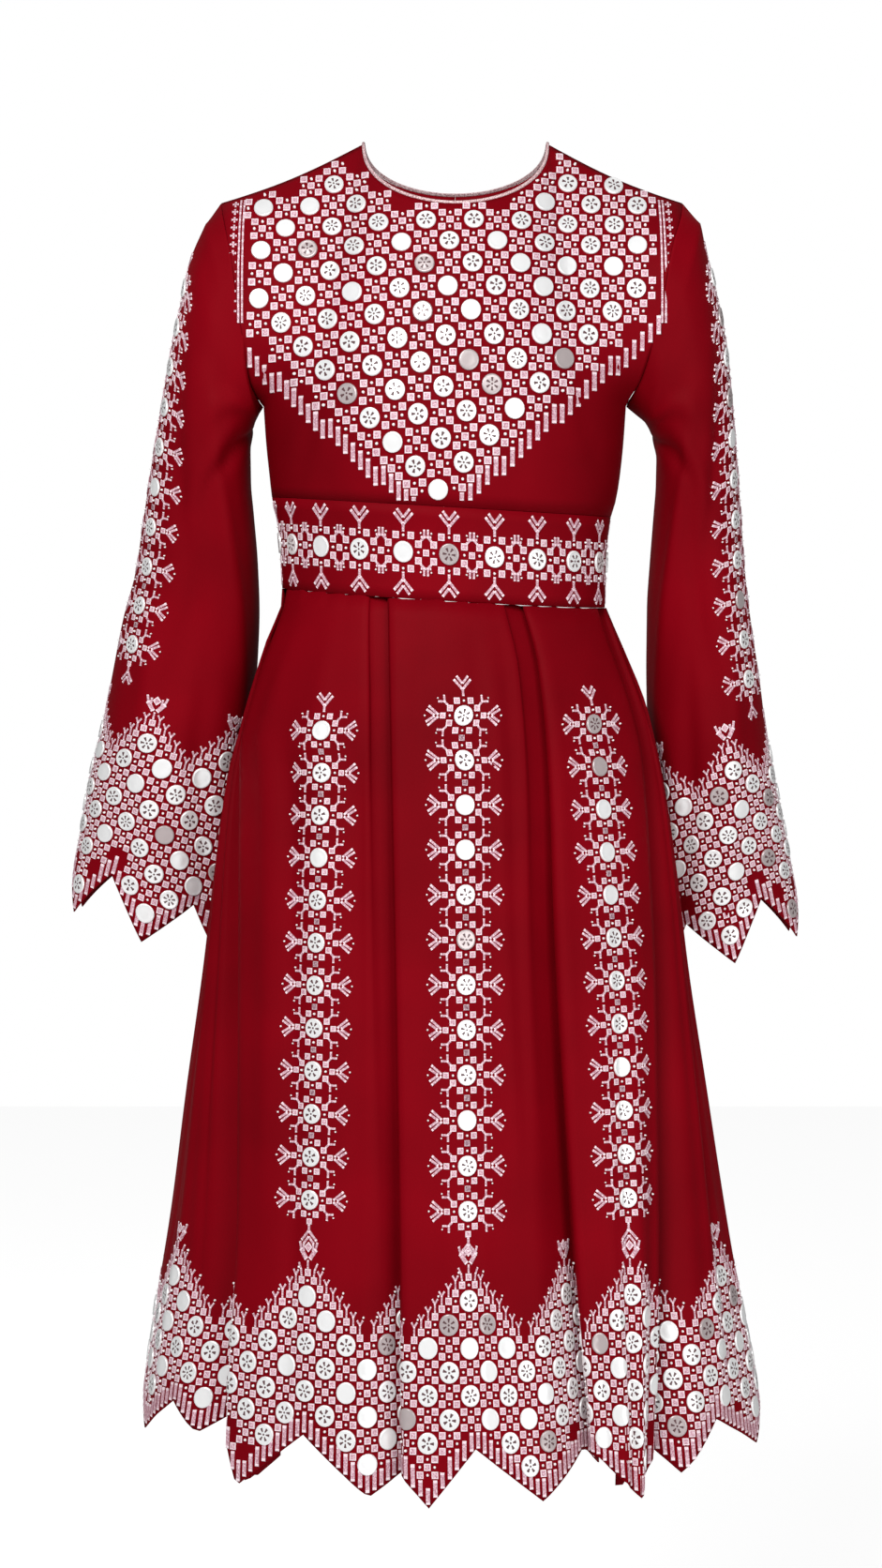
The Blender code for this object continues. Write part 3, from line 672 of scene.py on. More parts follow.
def buildBodice(settings):
    frontArray, frontNormals = foldedBodice(bodiceGrid(-1, settings), -1)
    backArray, backNormals = foldedBodice(bodiceGrid(1, settings), 1)
    top = frontArray.shape[0] - 1
    shared = frontNormals[:, [0, -1]] + backNormals[:, [0, -1]]
    shared /= np.linalg.norm(shared, axis=2, keepdims=True)
    frontNormals[:, [0, -1]] = shared
    backNormals[:, [0, -1]] = shared
    ridge = frontNormals[top] + backNormals[top]
    ridge /= np.linalg.norm(ridge, axis=1, keepdims=True)
    quarter = settings["across"] // 4
    for c in range(settings["across"] + 1):
        if c <= quarter or c >= settings["across"] - quarter:
            frontNormals[top, c] = ridge[c]
            backNormals[top, c] = ridge[c]
    front = clothMesh("bodiceFront", frontArray, frontArray - frontNormals * wallShown)
    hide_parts("bodice_front")
    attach(front, "root")
    middle = settings["across"] // 2
    backArray = backArray[:, ::-1]
    backNormals = backNormals[:, ::-1]
    gapped = backArray.copy()
    halves = []
    parts = (
        ("bodiceBackLeft", "bodice_back_left", 0, middle, -1),
        ("bodiceBackRight", "bodice_back_right", middle, settings["across"], 1),
    )
    for name, node, first, last, sign in parts:
        outer = gapped[:, first:last + 1].copy()
        normal = backNormals[:, first:last + 1]
        edge = -1 if sign < 0 else 0
        outer[:, edge, 0] += -sign * 0.0001
        half = clothMesh(name, outer, outer - normal * wallShown)
        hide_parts(node)
        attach(half, "root")
        halves.append(half)
    return front, halves, frontArray, frontNormals, backArray, backNormals


bodiceFront, bodiceBacks, frontArray, frontNormals, backArray, backNormals = buildBodice(bodiceSettings)
print("stage: bodice made")

bandSettings = {"across": 72, "up": 8}


def buildBand(settings):
    pieces = []
    parts = (("waistbandFront", "waistband_front", -0.5), ("waistbandBack", "waistband_back", 0.5))
    for name, node, start in parts:
        grid = []
        for k in range(settings["up"] + 1):
            row = []
            for i in range(settings["across"] + 1):
                turn = math.pi * (start + i / settings["across"])
                share = k / settings["up"]
                height = waistHeight(turn) + 0.0002 + (bandHeight - 0.0004) * share
                row.append(trunkPoint(turn, height))
            grid.append(row)
        array = np.array([[tuple(p) for p in row] for row in grid])
        normals = gridNormals(grid)
        piece = clothMesh(name, array, array - normals * wallShown)
        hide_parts(node)
        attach(piece, "root")
        pieces.append(piece)
    return pieces


bandPieces = buildBand(bandSettings)

# Sleeves
sleeveSettings = {"around": 96, "down": 72}

# Soft folds of a sleeve: place down the sleeve, turn in degrees, length, width in degrees, spiral, height
sleeveFolds = (
    (2.2, 120.0, 1.6, 9.0, -22.0, 0.0026), (3.2, 142.0, 1.5, 8.0, -26.0, -0.0030),
    (4.1, 105.0, 1.8, 9.0, -18.0, 0.0022), (5.2, 70.0, 2.4, 12.0, 10.0, -0.0020),
    (6.4, 128.0, 2.6, 11.0, 8.0, 0.0028), (7.6, 92.0, 2.8, 12.0, -6.0, -0.0022),
    (9.4, 66.0, 2.4, 11.0, 5.0, 0.0022), (10.6, 118.0, 2.6, 12.0, 4.0, -0.0032),
    (12.0, 86.0, 2.2, 10.0, 3.0, 0.0020), (12.4, 140.0, 2.0, 11.0, 0.0, 0.0026),
    (4.0, 232.0, 2.2, 12.0, 16.0, 0.0024), (6.6, 268.0, 2.6, 12.0, -8.0, -0.0022),
    (9.0, 226.0, 2.8, 12.0, 6.0, 0.0024), (11.2, 284.0, 2.4, 12.0, 0.0, -0.0024),
)


def sleeveLoop(rings, side, k, angle):
    # Point of a sleeve at ring place k and angle from its outer line through the front
    keyed = [(i,) + row for i, row in enumerate(rings)]
    last = len(rings) - 1
    place = min(max(k, 0.0), float(last))
    ox, oz, ix, iz, cy, depth = [flowing(keyed, place, column) for column in range(1, 7)]
    across = (1 - math.cos(angle)) / 2
    roundY = math.copysign(abs(math.sin(angle)) ** 0.9, math.sin(angle))
    point = Vector((ox + (ix - ox) * across, cy - depth * roundY, oz + (iz - oz) * across))
    middle = Vector(((ox + ix) / 2, cy, (oz + iz) / 2))
    share = angle / math.pi if angle <= math.pi else 2 - angle / math.pi
    front = -1 if angle <= math.pi else 1
    seam = armholePoint(share, side, front)
    if k < 3.0:
        first = armholePoint(0, side, -1)
        under = armholePoint(1, side, -1)
        hub = Vector(((first.x + under.x) / 2, 0, (first.z + under.z) / 2))
        carried = middle + seam - hub
        keep = Vector((point.x, carried.y, point.z))
        point = keep.lerp(point, ease((place + 1) / 4))
    if k < 0:
        point = seam.lerp(point, ease(k + 1) * 0.5 + (k + 1) * 0.5)
    return point


def sleeveSurface(rings, side, settings):
    # Rows of sleeve points from the armhole to the zigzag edge
    last = len(rings) - 1
    around = settings["around"]
    rows = []
    for r in range(settings["down"] + 1):
        k = -1 + (last + 1) * r / settings["down"]
        row = [sleeveLoop(rings, side, k, 2 * math.pi * j / around) for j in range(around)]
        rows.append(row)
    array = np.array([[tuple(p) for p in row] for row in rows])
    turned = gridNormals(array[::-1], wrap=True)[::-1]
    if side > 0:
        turned = -turned
    places = np.linspace(-1, last, settings["down"] + 1)[:, None]
    degrees = np.degrees(np.arange(around) * 2 * math.pi / around)[None, :]
    total = np.zeros(array.shape[:2])
    for place, turn, length, width, spiral, height in sleeveFolds:
        lean = turn + spiral * (places - place)
        gap = (degrees - lean + 180) % 360 - 180
        total += 1.6 * height * np.exp(-((places - place) / length) ** 2) * np.exp(-(gap / width) ** 2)
    array = array + turned * total[:, :, None]
    return array, turned


def cuffEdge(array, side, settings):
    # Moves the lowest rows down into the zigzag tips
    around = settings["around"]
    rows = 14
    shaped = array.copy()
    fall = np.array((side * 0.2, 0.0, -1.0))
    for j in range(around):
        wave = abs(((j / (around / 6) + 0.5) % 1.0) - 0.5) * 2
        tip = array[-1, j] + fall * (cuffZigzag * wave + 1e-6)
        line = np.concatenate([array[-rows - 1:, j], tip[None]])
        lengths = np.concatenate([[0], np.cumsum(np.linalg.norm(np.diff(line, axis=0), axis=1))])
        wanted = np.linspace(0, lengths[-1], rows + 1)
        for k in range(3):
            shaped[-rows - 1:, j, k] = np.interp(wanted, lengths, line[:, k])
    return shaped


def buildSleeve(name, node, rings, side, settings):
    array, normals = sleeveSurface(rings, side, settings)
    shaped = cuffEdge(array, side, settings)
    first = shaped[1] - shaped[0]
    shaped[0] += first / np.linalg.norm(first, axis=1, keepdims=True) * 0.0006
    inner = shaped - normals * wallShown
    piece = clothMesh(name, shaped, inner, wrap=True)
    bpy.context.view_layer.objects.active = piece
    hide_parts(node)
    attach(piece, "root")
    return piece, array


sleeveRight, rightArray = buildSleeve(
    "sleeveRight", "sleeve_right", sleeveRingsRight, -1, sleeveSettings)
sleeveLeft, leftArray = buildSleeve(
    "sleeveLeft", "sleeve_left", sleeveRingsLeft, 1, sleeveSettings)
print("stage: sleeves made")

bindingSettings = {"quarterSteps": 32, "height": 0.0028, "rise": 0.0004}


def buildBinding(settings):
    # Narrow padded ring on the neck edge
    points = []
    count = settings["quarterSteps"] * 2
    for front in (-1, 1):
        for i in range(count):
            share = -1 + 2 * i / count if front < 0 else 1 - 2 * i / count
            points.append(np.array(neckPoint(share, front)))
    points = np.array(points)
    centre = np.array((neck["x"], -0.01, 0.02))
    tangent = np.roll(points, -1, axis=0) - np.roll(points, 1, axis=0)
    tangent /= np.linalg.norm(tangent, axis=1, keepdims=True)
    towards = centre - points
    towards[:, 2] = 0
    towards /= np.linalg.norm(towards, axis=1, keepdims=True)
    rise = towards * 0.55 + np.array((0, 0, 0.8))
    rise -= tangent * (rise * tangent).sum(axis=1, keepdims=True)
    rise /= np.linalg.norm(rise, axis=1, keepdims=True)
    out = np.cross(tangent, rise)
    rows, inner = [], []
    for share, swell in ((0.0, 0.0), (0.2, 0.0006), (0.5, 0.0009), (0.8, 0.0006), (1.0, 0.0)):
        level = points + rise * (settings["rise"] + settings["height"] * share)
        rows.append(level + out * swell)
        inner.append(level - out * wallShown)
    piece = clothMesh("neckBinding", np.array(rows), np.array(inner), wrap=True)
    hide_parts("neck_binding")
    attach(piece, "root")
    return piece


neckBinding = buildBinding(bindingSettings)

# Maps: regular grids of surface points that embroidery is laid on


def onMap(chart, across, down, height):
    rows, columns = chart["p"].shape[:2]
    x = np.clip((across - chart["a0"]) / chart["da"], 0, columns - 1.001)
    y = np.clip((down - chart["v0"]) / chart["dv"], 0, rows - 1.001)
    i, j = x.astype(int), y.astype(int)
    fx, fy = (x - i)[:, None], (y - j)[:, None]

    def mixed(values):
        return (values[j, i] * (1 - fx) * (1 - fy) + values[j, i + 1] * fx * (1 - fy)
                + values[j + 1, i] * (1 - fx) * fy + values[j + 1, i + 1] * fx * fy)

    normal = mixed(chart["n"])
    normal /= np.maximum(1e-9, np.linalg.norm(normal, axis=1, keepdims=True))
    return mixed(chart["p"]) + normal * height[:, None]


def newBatch():
    return {"across": [], "down": [], "height": [], "faces": [], "uv": [], "count": 0}


def addShape(batch, points, faces, uvs):
    # points are (across, down, height); uvs give one pair per point
    base = batch["count"]
    for across, down, height in points:
        batch["across"].append(across)
        batch["down"].append(down)
        batch["height"].append(height)
    batch["uv"].extend(uvs)
    for face in faces:
        batch["faces"].append(tuple(base + k for k in face))
    batch["count"] += len(points)


stitchHeight = 0.0007
boxFaces = ((0, 1, 2, 3), (4, 5, 1, 0), (5, 6, 2, 1), (6, 7, 3, 2), (7, 4, 0, 3))


def addBox(batch, corners, kind, length=1.0, height=stitchHeight):
    # A flat raised patch with four corners; kind picks the stitch look through the uv tile
    middleA = sum(c[0] for c in corners) / 4
    middleD = sum(c[1] for c in corners) / 4
    points = [(middleA + (a - middleA) * 0.93, middleD + (d - middleD) * 0.93, height) for a, d in corners]
    points += [(a, d, -0.0002) for a, d in corners]
    tile = ((0, 0), (1, 0), (1, length), (0, length))
    uvs = [(kind * 100 + u, v) for u, v in tile] + [(kind * 100 + u, v) for u, v in tile]
    addShape(batch, points, boxFaces, uvs)


def addSquare(batch, a, d, size, sizeDown=None, tilt=0.0):
    half = size / 2
    halfDown = (sizeDown or size) / 2
    cosine, sine = math.cos(tilt), math.sin(tilt)
    corners = []
    for sa, sd in ((-1, 1), (1, 1), (1, -1), (-1, -1)):
        corners.append((a + (sa * cosine - sd * sine) * half, d + (sa * sine + sd * cosine) * halfDown))
    addBox(batch, corners, 0)


def addStroke(batch, a0, d0, a1, d1, width, unitA, unitD, kind=1):
    # A stitched line between two lattice points; width is in lattice units
    da, dd = a1 - a0, d1 - d0
    length = math.hypot(da, dd) or 1.0
    na, nd = -dd / length * width / 2, da / length * width / 2
    corners = [((a0 + na) * unitA, (d0 + nd) * unitD), ((a1 + na) * unitA, (d1 + nd) * unitD),
               ((a1 - na) * unitA, (d1 - nd) * unitD), ((a0 - na) * unitA, (d0 - nd) * unitD)]
    addBox(batch, corners, kind, length)


def addRound(batch, a, d, radiusA, radiusD, rings, segments, seed):
    # A round raised piece from rings of (share of radius, height)
    points, uvs, faces = [], [], []
    for share, height in rings:
        for k in range(segments):
            angle = 2 * math.pi * k / segments
            ca, sa = math.cos(angle), math.sin(angle)
            points.append((a + radiusA * share * ca, d + radiusD * share * sa, height))
            uvs.append((seed * 4 + share * ca, share * sa))
    for r in range(len(rings) - 1):
        for k in range(segments):
            m = (k + 1) % segments
            low = r * segments
            high = low + segments
            faces.append((low + m, low + k, high + k, high + m))
    points.append((a, d, rings[-1][1]))
    uvs.append((seed * 4.0, 0.0))
    centre = len(points) - 1
    top = (len(rings) - 1) * segments
    for k in range(segments):
        faces.append((top + (k + 1) % segments, top + k, centre))
    addShape(batch, points, faces, uvs)


discRings = ((1.0, -0.0002), (1.0, 0.0011), (0.93, 0.0018), (0.84, 0.0016), (0.45, 0.0019))
dotRings = ((1.0, -0.0002), (0.92, 0.0009), (0.55, 0.0016))


def finishBatch(batch, chart, name, mirrored=False):
    if not batch["count"]:
        return None
    points = onMap(chart, np.array(batch["across"], float), np.array(batch["down"], float),
                   np.array(batch["height"], float))
    mesh = bpy.data.meshes.new(name)
    faces = batch["faces"]
    if mirrored:
        faces = [tuple(reversed(face)) for face in faces]
    mesh.from_pydata(points.tolist(), [], faces)
    layer = mesh.uv_layers.new(name="thread")
    loops = np.zeros(len(mesh.loops), dtype=np.int32)
    mesh.loops.foreach_get("vertex_index", loops)
    layer.data.foreach_set("uv", np.array(batch["uv"], float)[loops].ravel())
    thing = bpy.data.objects.new(name, mesh)
    bpy.context.scene.collection.objects.link(thing)
    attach(thing, "root")
    return thing


def threeBatches():
    return {"stitches": newBatch(), "dots": newBatch(), "discs": newBatch()}


seedCount = 0


def nextSeed():
    global seedCount
    seedCount += 1
    return seedCount


def lay(batches, kind, a, d, unitA, unitD, size=1.0):
    if kind == "disc":
        addRound(batches["discs"], a * unitA, d * unitD, size * unitA, size * unitD,
                 discRings, 22, nextSeed())
    elif kind == "dot":
        addRound(batches["dots"], a * unitA, d * unitD, size * unitA, size * unitD, dotRings, 8, nextSeed())
    else:
        addSquare(batches["stitches"], a * unitA, d * unitD, size * unitA, size * unitD)


def latticeCell(x, y):
    # What stands at a unit of the lattice: a disc, its free room, a square or a dot
    cellX, cellY = round(x / 3), round(y / 3)
    dx, dy = x - 3 * cellX, y - 3 * cellY
    if (cellX + cellY) % 2:
        return "disc" if dx == 0 and dy == 0 else None
    if abs(dx) + abs(dy) == 1:
        return "dot"
    return "square"


def layBand(batches, first, last, period, lineTop, lineLow, edge, unitA, unitD, discSize):
    # Zigzag band: lattice columns first to last, peaks every period, an edge to hang the bars to
    half = period // 2
    for x in range(first, last + 1):
        away = abs((x + half) % period - half)
        top = away
        low = lineLow(x, away)
        for y in range(top, int(low) + 1):
            kind = latticeCell(x - lineTop, y)
            if kind == "disc":
                if y - 1.9 >= top - 1 and y + 1.4 <= low + 1.2:
                    lay(batches, "disc", x, y, unitA, unitD, discSize)
            elif kind == "dot":
                lay(batches, "dot", x, y, unitA, unitD, 0.19)
            elif kind == "square":
                lay(batches, "square", x, y, unitA, unitD, 0.93)
        bottom = edge(x)
        if bottom - low > 1.2:
            start = int(low) + 0.62
            addStroke(batches["stitches"], x, start, x, bottom - 0.35, 0.58, unitA, unitD, 2)
        if away == 0:
            layCrown(batches, x, top, unitA, unitD)
        elif away == 1:
            lean = 1 if (x % period) < half else -1
            addStroke(batches["stitches"], x, top - 0.5, x + 0.15 * lean, top - 1.5, 0.26, unitA, unitD)
            addStroke(batches["stitches"], x + 0.15 * lean, top - 1.4, x + 0.55 * lean, top - 2.2,
                      0.26, unitA, unitD)
        elif away < half:
            addStroke(batches["stitches"], x, top - 0.5, x, top - 1.7, 0.25, unitA, unitD)
            addStroke(batches["stitches"], x, top - 1.6, x - 0.42, top - 2.25, 0.26, unitA, unitD)
            addStroke(batches["stitches"], x, top - 1.6, x + 0.42, top - 2.25, 0.26, unitA, unitD)
            if away % 3 == 2:
                lay(batches, "dot", x + 0.5, top - 2.6, unitA, unitD, 0.17)


def layCrown(batches, x, top, unitA, unitD):
    # Leaves and a diamond that stand on a peak
    stitches = batches["stitches"]
    addStroke(stitches, x, top - 0.5, x, top - 1.6, 0.28, unitA, unitD)
    for side in (-1, 1):
        addStroke(stitches, x + 0.25 * side, top - 1.7, x + 1.25 * side, top - 3.0, 0.62, unitA, unitD, 2)
        addStroke(stitches, x + 1.15 * side, top - 2.9, x + 1.45 * side, top - 3.9, 0.34, unitA, unitD)
        addStroke(stitches, x + 0.75 * side, top - 2.7, x + 0.8 * side, top - 3.6, 0.3, unitA, unitD)
    addSquare(stitches, x * unitA, (top - 3.25) * unitD, 0.95 * unitA, 1.0 * unitD, math.pi / 4)


def layMotif(batches, x, y, unitA, unitD, discSize, above=True, below=True, sides=True):
    # A snowflake: disc, ring of squares, hooked corners and arrows at the sides
    stitches = batches["stitches"]
    lay(batches, "disc", x, y, unitA, unitD, discSize)
    for sa, sd in ((1, 2), (-1, 2), (1, -2), (-1, -2), (2, 1), (-2, 1), (2, -1), (-2, -1)):
        lay(batches, "square", x + sa, y + sd, unitA, unitD, 0.88)
    for sa, sd in ((2, 0), (-2, 0), (0, 2), (0, -2)):
        lay(batches, "dot", x + sa, y + sd, unitA, unitD, 0.18)
    for side in (-1, 1):
        if sides:
            lay(batches, "square", x + 3 * side, y, unitA, unitD, 0.82)
            for rise in (-1, 1):
                addStroke(stitches, x + 3.6 * side, y + 0.1 * rise, x + 5.1 * side, y + 1.35 * rise,
                          0.34, unitA, unitD)
                addStroke(stitches, x + 4.15 * side, y + 0.05 * rise, x + 5.4 * side, y + 0.85 * rise,
                          0.34, unitA, unitD)
            lay(batches, "dot", x + 5.6 * side, y, unitA, unitD, 0.15)
        for rise in (-1, 1):
            for a0, d0, a1, d1 in ((2.3, 1.4, 2.8, 1.9), (2.7, 1.9, 3.7, 1.9), (2.75, 1.8, 2.75, 2.8)):
                addStroke(stitches, x + a0 * side, y + d0 * rise, x + a1 * side, y + d1 * rise,
                          0.3, unitA, unitD)
            lay(batches, "dot", x + 3.7 * side, y + 2.35 * rise, unitA, unitD, 0.13)
    if above:
        lay(batches, "square", x, y - 3, unitA, unitD, 0.82)
    if below:
        lay(batches, "square", x, y + 3, unitA, unitD, 0.82)


def layArrow(batches, x, y, rise, unitA, unitD):
    # A doubled V that ends a strip; rise is -1 upwards
    stitches = batches["stitches"]
    addStroke(stitches, x, y, x, y + 1.2 * rise, 0.34, unitA, unitD)
    for side in (-1, 1):
        addStroke(stitches, x, y + 0.9 * rise, x + 1.25 * side, y + 2.3 * rise, 0.36, unitA, unitD)
        addStroke(stitches, x, y + 1.7 * rise, x + 0.85 * side, y + 2.75 * rise, 0.34, unitA, unitD)


def layStrip(batches, discs, start, pitch, unitA, unitD, discSize, tail):
    # A strip of linked motifs down a centre line; start is in metres from the map's top
    for k in range(discs):
        y = (start + pitch * k) / unitD
        layMotif(batches, 0, y, unitA, unitD, discSize, k > 0, True)
    layArrow(batches, 0, start / unitD - 2.6, -1, unitA, unitD)
    end = (start + pitch * (discs - 1)) / unitD + 3.3
    if tail:
        layArrow(batches, 0, end + tail, 1, unitA, unitD)
    else:
        layArrow(batches, 0, end + 0.1, 1, unitA, unitD)


def shipBatches(batches, chart, prefix, mirrored=False):
    made = []
    for part, batch in batches.items():
        piece = finishBatch(batch, chart, prefix + part.capitalize(), mirrored)
        if piece:
            made.append((part, piece))
    return made


madePieces = []

# Skirt embroidery
skirtMapSettings = {"step": 0.004, "unit": 0.0059, "unitDown": 0.00632, "discSize": 1.38}


def skirtSections(settings):
    # Rows of the skirt's outer line at even heights, with normals and length along the cloth
    downValues = np.arange(waistZ - 0.004, -1.128, -settings["step"])
    sections = []
    for z in downValues:
        t = (waistZ - z) / skirtLength
        outer, inner = skirtRow(t)
        closed = np.concatenate([outer, outer[:1]])
        steps = np.linalg.norm(np.diff(closed, axis=0), axis=1)
        arc = np.concatenate([[0], np.cumsum(steps)])
        sections.append((z, outer, arc))
    return downValues, sections


def sectionNormals(grid):
    across = np.gradient(grid, axis=1)
    down = np.gradient(grid, axis=0)
    normals = np.cross(across, -down)
    normals /= np.maximum(1e-12, np.linalg.norm(normals, axis=2, keepdims=True))
    return normals


def anchorArc(outer, arc, first, last, x):
    # Length along the section where the panel between two columns crosses x
    best, bestGap = arc[first], 9.0
    for i in range(first, last):
        a, b = outer[i % len(outer)][0], outer[(i + 1) % len(outer)][0]
        if (a - x) * (b - x) <= 0 and a != b:
            share = (x - a) / (b - a)
            return arc[i] + (arc[i + 1] - arc[i]) * share
        if abs(a - x) < bestGap:
            best, bestGap = arc[i], abs(a - x)
    return best


downValues, skirtSectionRows = skirtSections(skirtMapSettings)
frontEnd = fineStart[seamColumns[1]]
leftEnd = fineStart[seamColumns[2]]
backEnd = fineStart[seamColumns[3]]
panelRange = [fineStart[c] for c in panelSpans]


def stripArcs(strip, first, last, backwards=False):
    arcs = []
    offset = fineStart[seamColumns[2]] if backwards else 0
    for z, outer, arc in skirtSectionRows:
        t = (waistZ - z) / skirtLength
        x = flowing(strip, t, 1)
        if backwards:
            x = 2 * flowing(skirtRings, t, 2) - x
        arcs.append(anchorArc(outer, arc, first + offset, last + offset, x))
    return np.convolve(np.pad(np.array(arcs), 4, mode="edge"), np.ones(9) / 9, mode="valid")


def skirtMap(low, high, step, scale):
    # A map across one strip's line or across several; scale turns section length to map units
    acrossValues = np.arange(low, high + step / 2, step)
    grid = []
    for (z, outer, arc), row in zip(skirtSectionRows, range(len(skirtSectionRows))):
        wanted = scale(row, acrossValues)
        total = arc[-1]
        closed = np.concatenate([outer, outer[:1]])
        wrapped = np.mod(wanted, total)
        x = np.interp(wrapped, arc, closed[:, 0])
        y = np.interp(wrapped, arc, closed[:, 1])
        grid.append(np.stack([x, y, np.full_like(x, z)], axis=1))
    grid = np.array(grid)
    return {"p": grid, "n": sectionNormals(grid), "a0": acrossValues[0], "da": step,
            "v0": 0.0, "dv": skirtMapSettings["step"]}


def downAt(z):
    return (waistZ - 0.004) - z


unit = skirtMapSettings["unit"]
unitDown = skirtMapSettings["unitDown"]
stripTables = ((leftStrip, 0, 1), (centreStrip, 2, 3), (rightStrip, 4, 5))
frontArcs = [stripArcs(strip, panelRange[a], panelRange[b]) for strip, a, b in stripTables]
backArcs = [stripArcs(strip, panelRange[a], panelRange[b], True) for strip, a, b in stripTables]

# strip, first disc height, last disc height
stripHeights = ((-0.4985, -0.8800), (-0.4860, -0.8860), (-0.4935, -0.8800))


def layStrips(arcsList, prefix):
    for k, (arcs, (top, low)) in enumerate(zip(arcsList, stripHeights)):
        batches = threeBatches()
        pitch = (top - low) / 11
        layStrip(batches, 12, downAt(top), pitch, unit * 0.965, pitch / 6.0, skirtMapSettings["discSize"], 0)
        chart = skirtMap(-0.045, 0.045, 0.003, lambda row, a, arcs=arcs: arcs[row] + a)
        madePieces.extend(shipBatches(batches, chart, prefix + str(k + 1)))


layStrips(frontArcs, "stripFront")
layStrips(backArcs, "stripBack")
print("stage: skirt strips laid")

# Hem band: peak height, and turns of the side pieces' peaks
hemSettings = {"peak": -0.9385, "sidePeakLeft": -0.9375, "sidePeakRight": -0.9385}


def layHem(arcsList, prefix, seamFirst, seamLast, peak):
    # Band on a front or back piece with three strips 36 units apart

    def scale(row, values):
        known = np.array([arcs[row] for arcs in arcsList])
        low = known[0] + (values + 36) * unit
        high = known[2] + (values - 36) * unit
        middle = np.interp(values, (-36, 0, 36), known)
        return np.where(values < -36, low, np.where(values > 36, high, middle))

    hemRow = int(round(downAt(-1.10) / skirtMapSettings["step"]))
    arcRow = skirtSectionRows[hemRow][2]
    firstArc = arcRow[seamFirst]
    endArc = arcRow[seamLast]
    known = [arcs[hemRow] for arcs in arcsList]
    first = math.ceil(-36 - (known[0] - firstArc) / unit) + 1
    last = math.floor(36 + (endArc - known[2]) / unit) - 1
    wanted = scale(hemRow, np.arange(first, last + 1, dtype=float))
    turns = np.interp(wanted, arcRow[:-1], fineTurn)
    edges = {x: (peak - hemHeight(turn)) / unitDown for x, turn in zip(range(first, last + 1), turns)}
    batches = threeBatches()

    def lineLow(x, away):
        return edges[x] - 3.0

    layBand(batches, first, last, 18, 0, lineLow, lambda x: edges[x], 1.0, unitDown,
            skirtMapSettings["discSize"])
    for kind in batches.values():
        kind["down"] = [d + downAt(peak) for d in kind["down"]]
    chart = skirtMap(first - 1.5, last + 1.5, 0.4, scale)
    madePieces.extend(shipBatches(batches, chart, prefix))


layHem(frontArcs, "hemFront", 0, frontEnd, hemSettings["peak"])
layHem(backArcs, "hemBack", leftEnd, backEnd, hemSettings["peak"])


def laySide(prefix, seamFirst, seamLast, peakTurn, towards, peak):
    # Band and strip of a side piece, measured from the peak that shows at the front
    arcs = []
    for z, outer, arc in skirtSectionRows:
        turns = fineTurn
        lo, hi = seamFirst, seamLast
        x = np.interp(peakTurn, turns[lo:hi], arc[lo:hi])
        arcs.append(x)
    arcs = np.array(arcs)

    def scale(row, values):
        return arcs[row] + values * unit

    hemRow = int(round(downAt(-1.08) / skirtMapSettings["step"]))
    arcRow = skirtSectionRows[hemRow][2]
    first = math.ceil((arcRow[seamFirst] - arcs[hemRow]) / unit) + 1
    last = math.floor((arcRow[seamLast] - arcs[hemRow]) / unit) - 1
    wanted = scale(hemRow, np.arange(first, last + 1, dtype=float))
    turns = np.interp(wanted, arcRow[:-1], fineTurn)
    edges = {x: (peak - hemHeight(turn)) / unitDown for x, turn in zip(range(first, last + 1), turns)}
    batches = threeBatches()
    layBand(batches, first, last, 18, 0, lambda x, away: edges[x] - 3.0, lambda x: edges[x], 1.0, unitDown,
            skirtMapSettings["discSize"])
    for kind in batches.values():
        kind["down"] = [d + downAt(peak) for d in kind["down"]]
    chart = skirtMap(first - 1.5, last + 1.5, 0.4, scale)
    madePieces.extend(shipBatches(batches, chart, prefix))
    stripBatches = threeBatches()
    pitch = 0.0358
    layStrip(stripBatches, 12, downAt(-0.4900), pitch, unit * 0.965, pitch / 6.0,
             skirtMapSettings["discSize"], 0)
    stripArc = arcs + towards * 18 * unit
    stripChart = skirtMap(-0.045, 0.045, 0.003, lambda row, a: stripArc[row] + a)
    madePieces.extend(shipBatches(stripBatches, stripChart, prefix + "Strip"))


laySide("hemLeft", frontEnd, leftEnd, math.radians(64.5), 1, hemSettings["sidePeakRight"])
laySide("hemRight", backEnd, len(fineTurn), math.radians(292.0), -1, hemSettings["sidePeakLeft"])
print("stage: hem bands laid")

# Sleeve embroidery
sleeveMapSettings = {"unit": 0.0059, "unitDown": 0.0059, "discSize": 1.38}
# ring place, angle of the strip's centre line from the outer line in degrees
stripAngles = ((-1, 8.0), (1, 14.0), (3, 26.0), (6, 38.0), (9, 43.0), (11, 38.0), (13, 30.0))


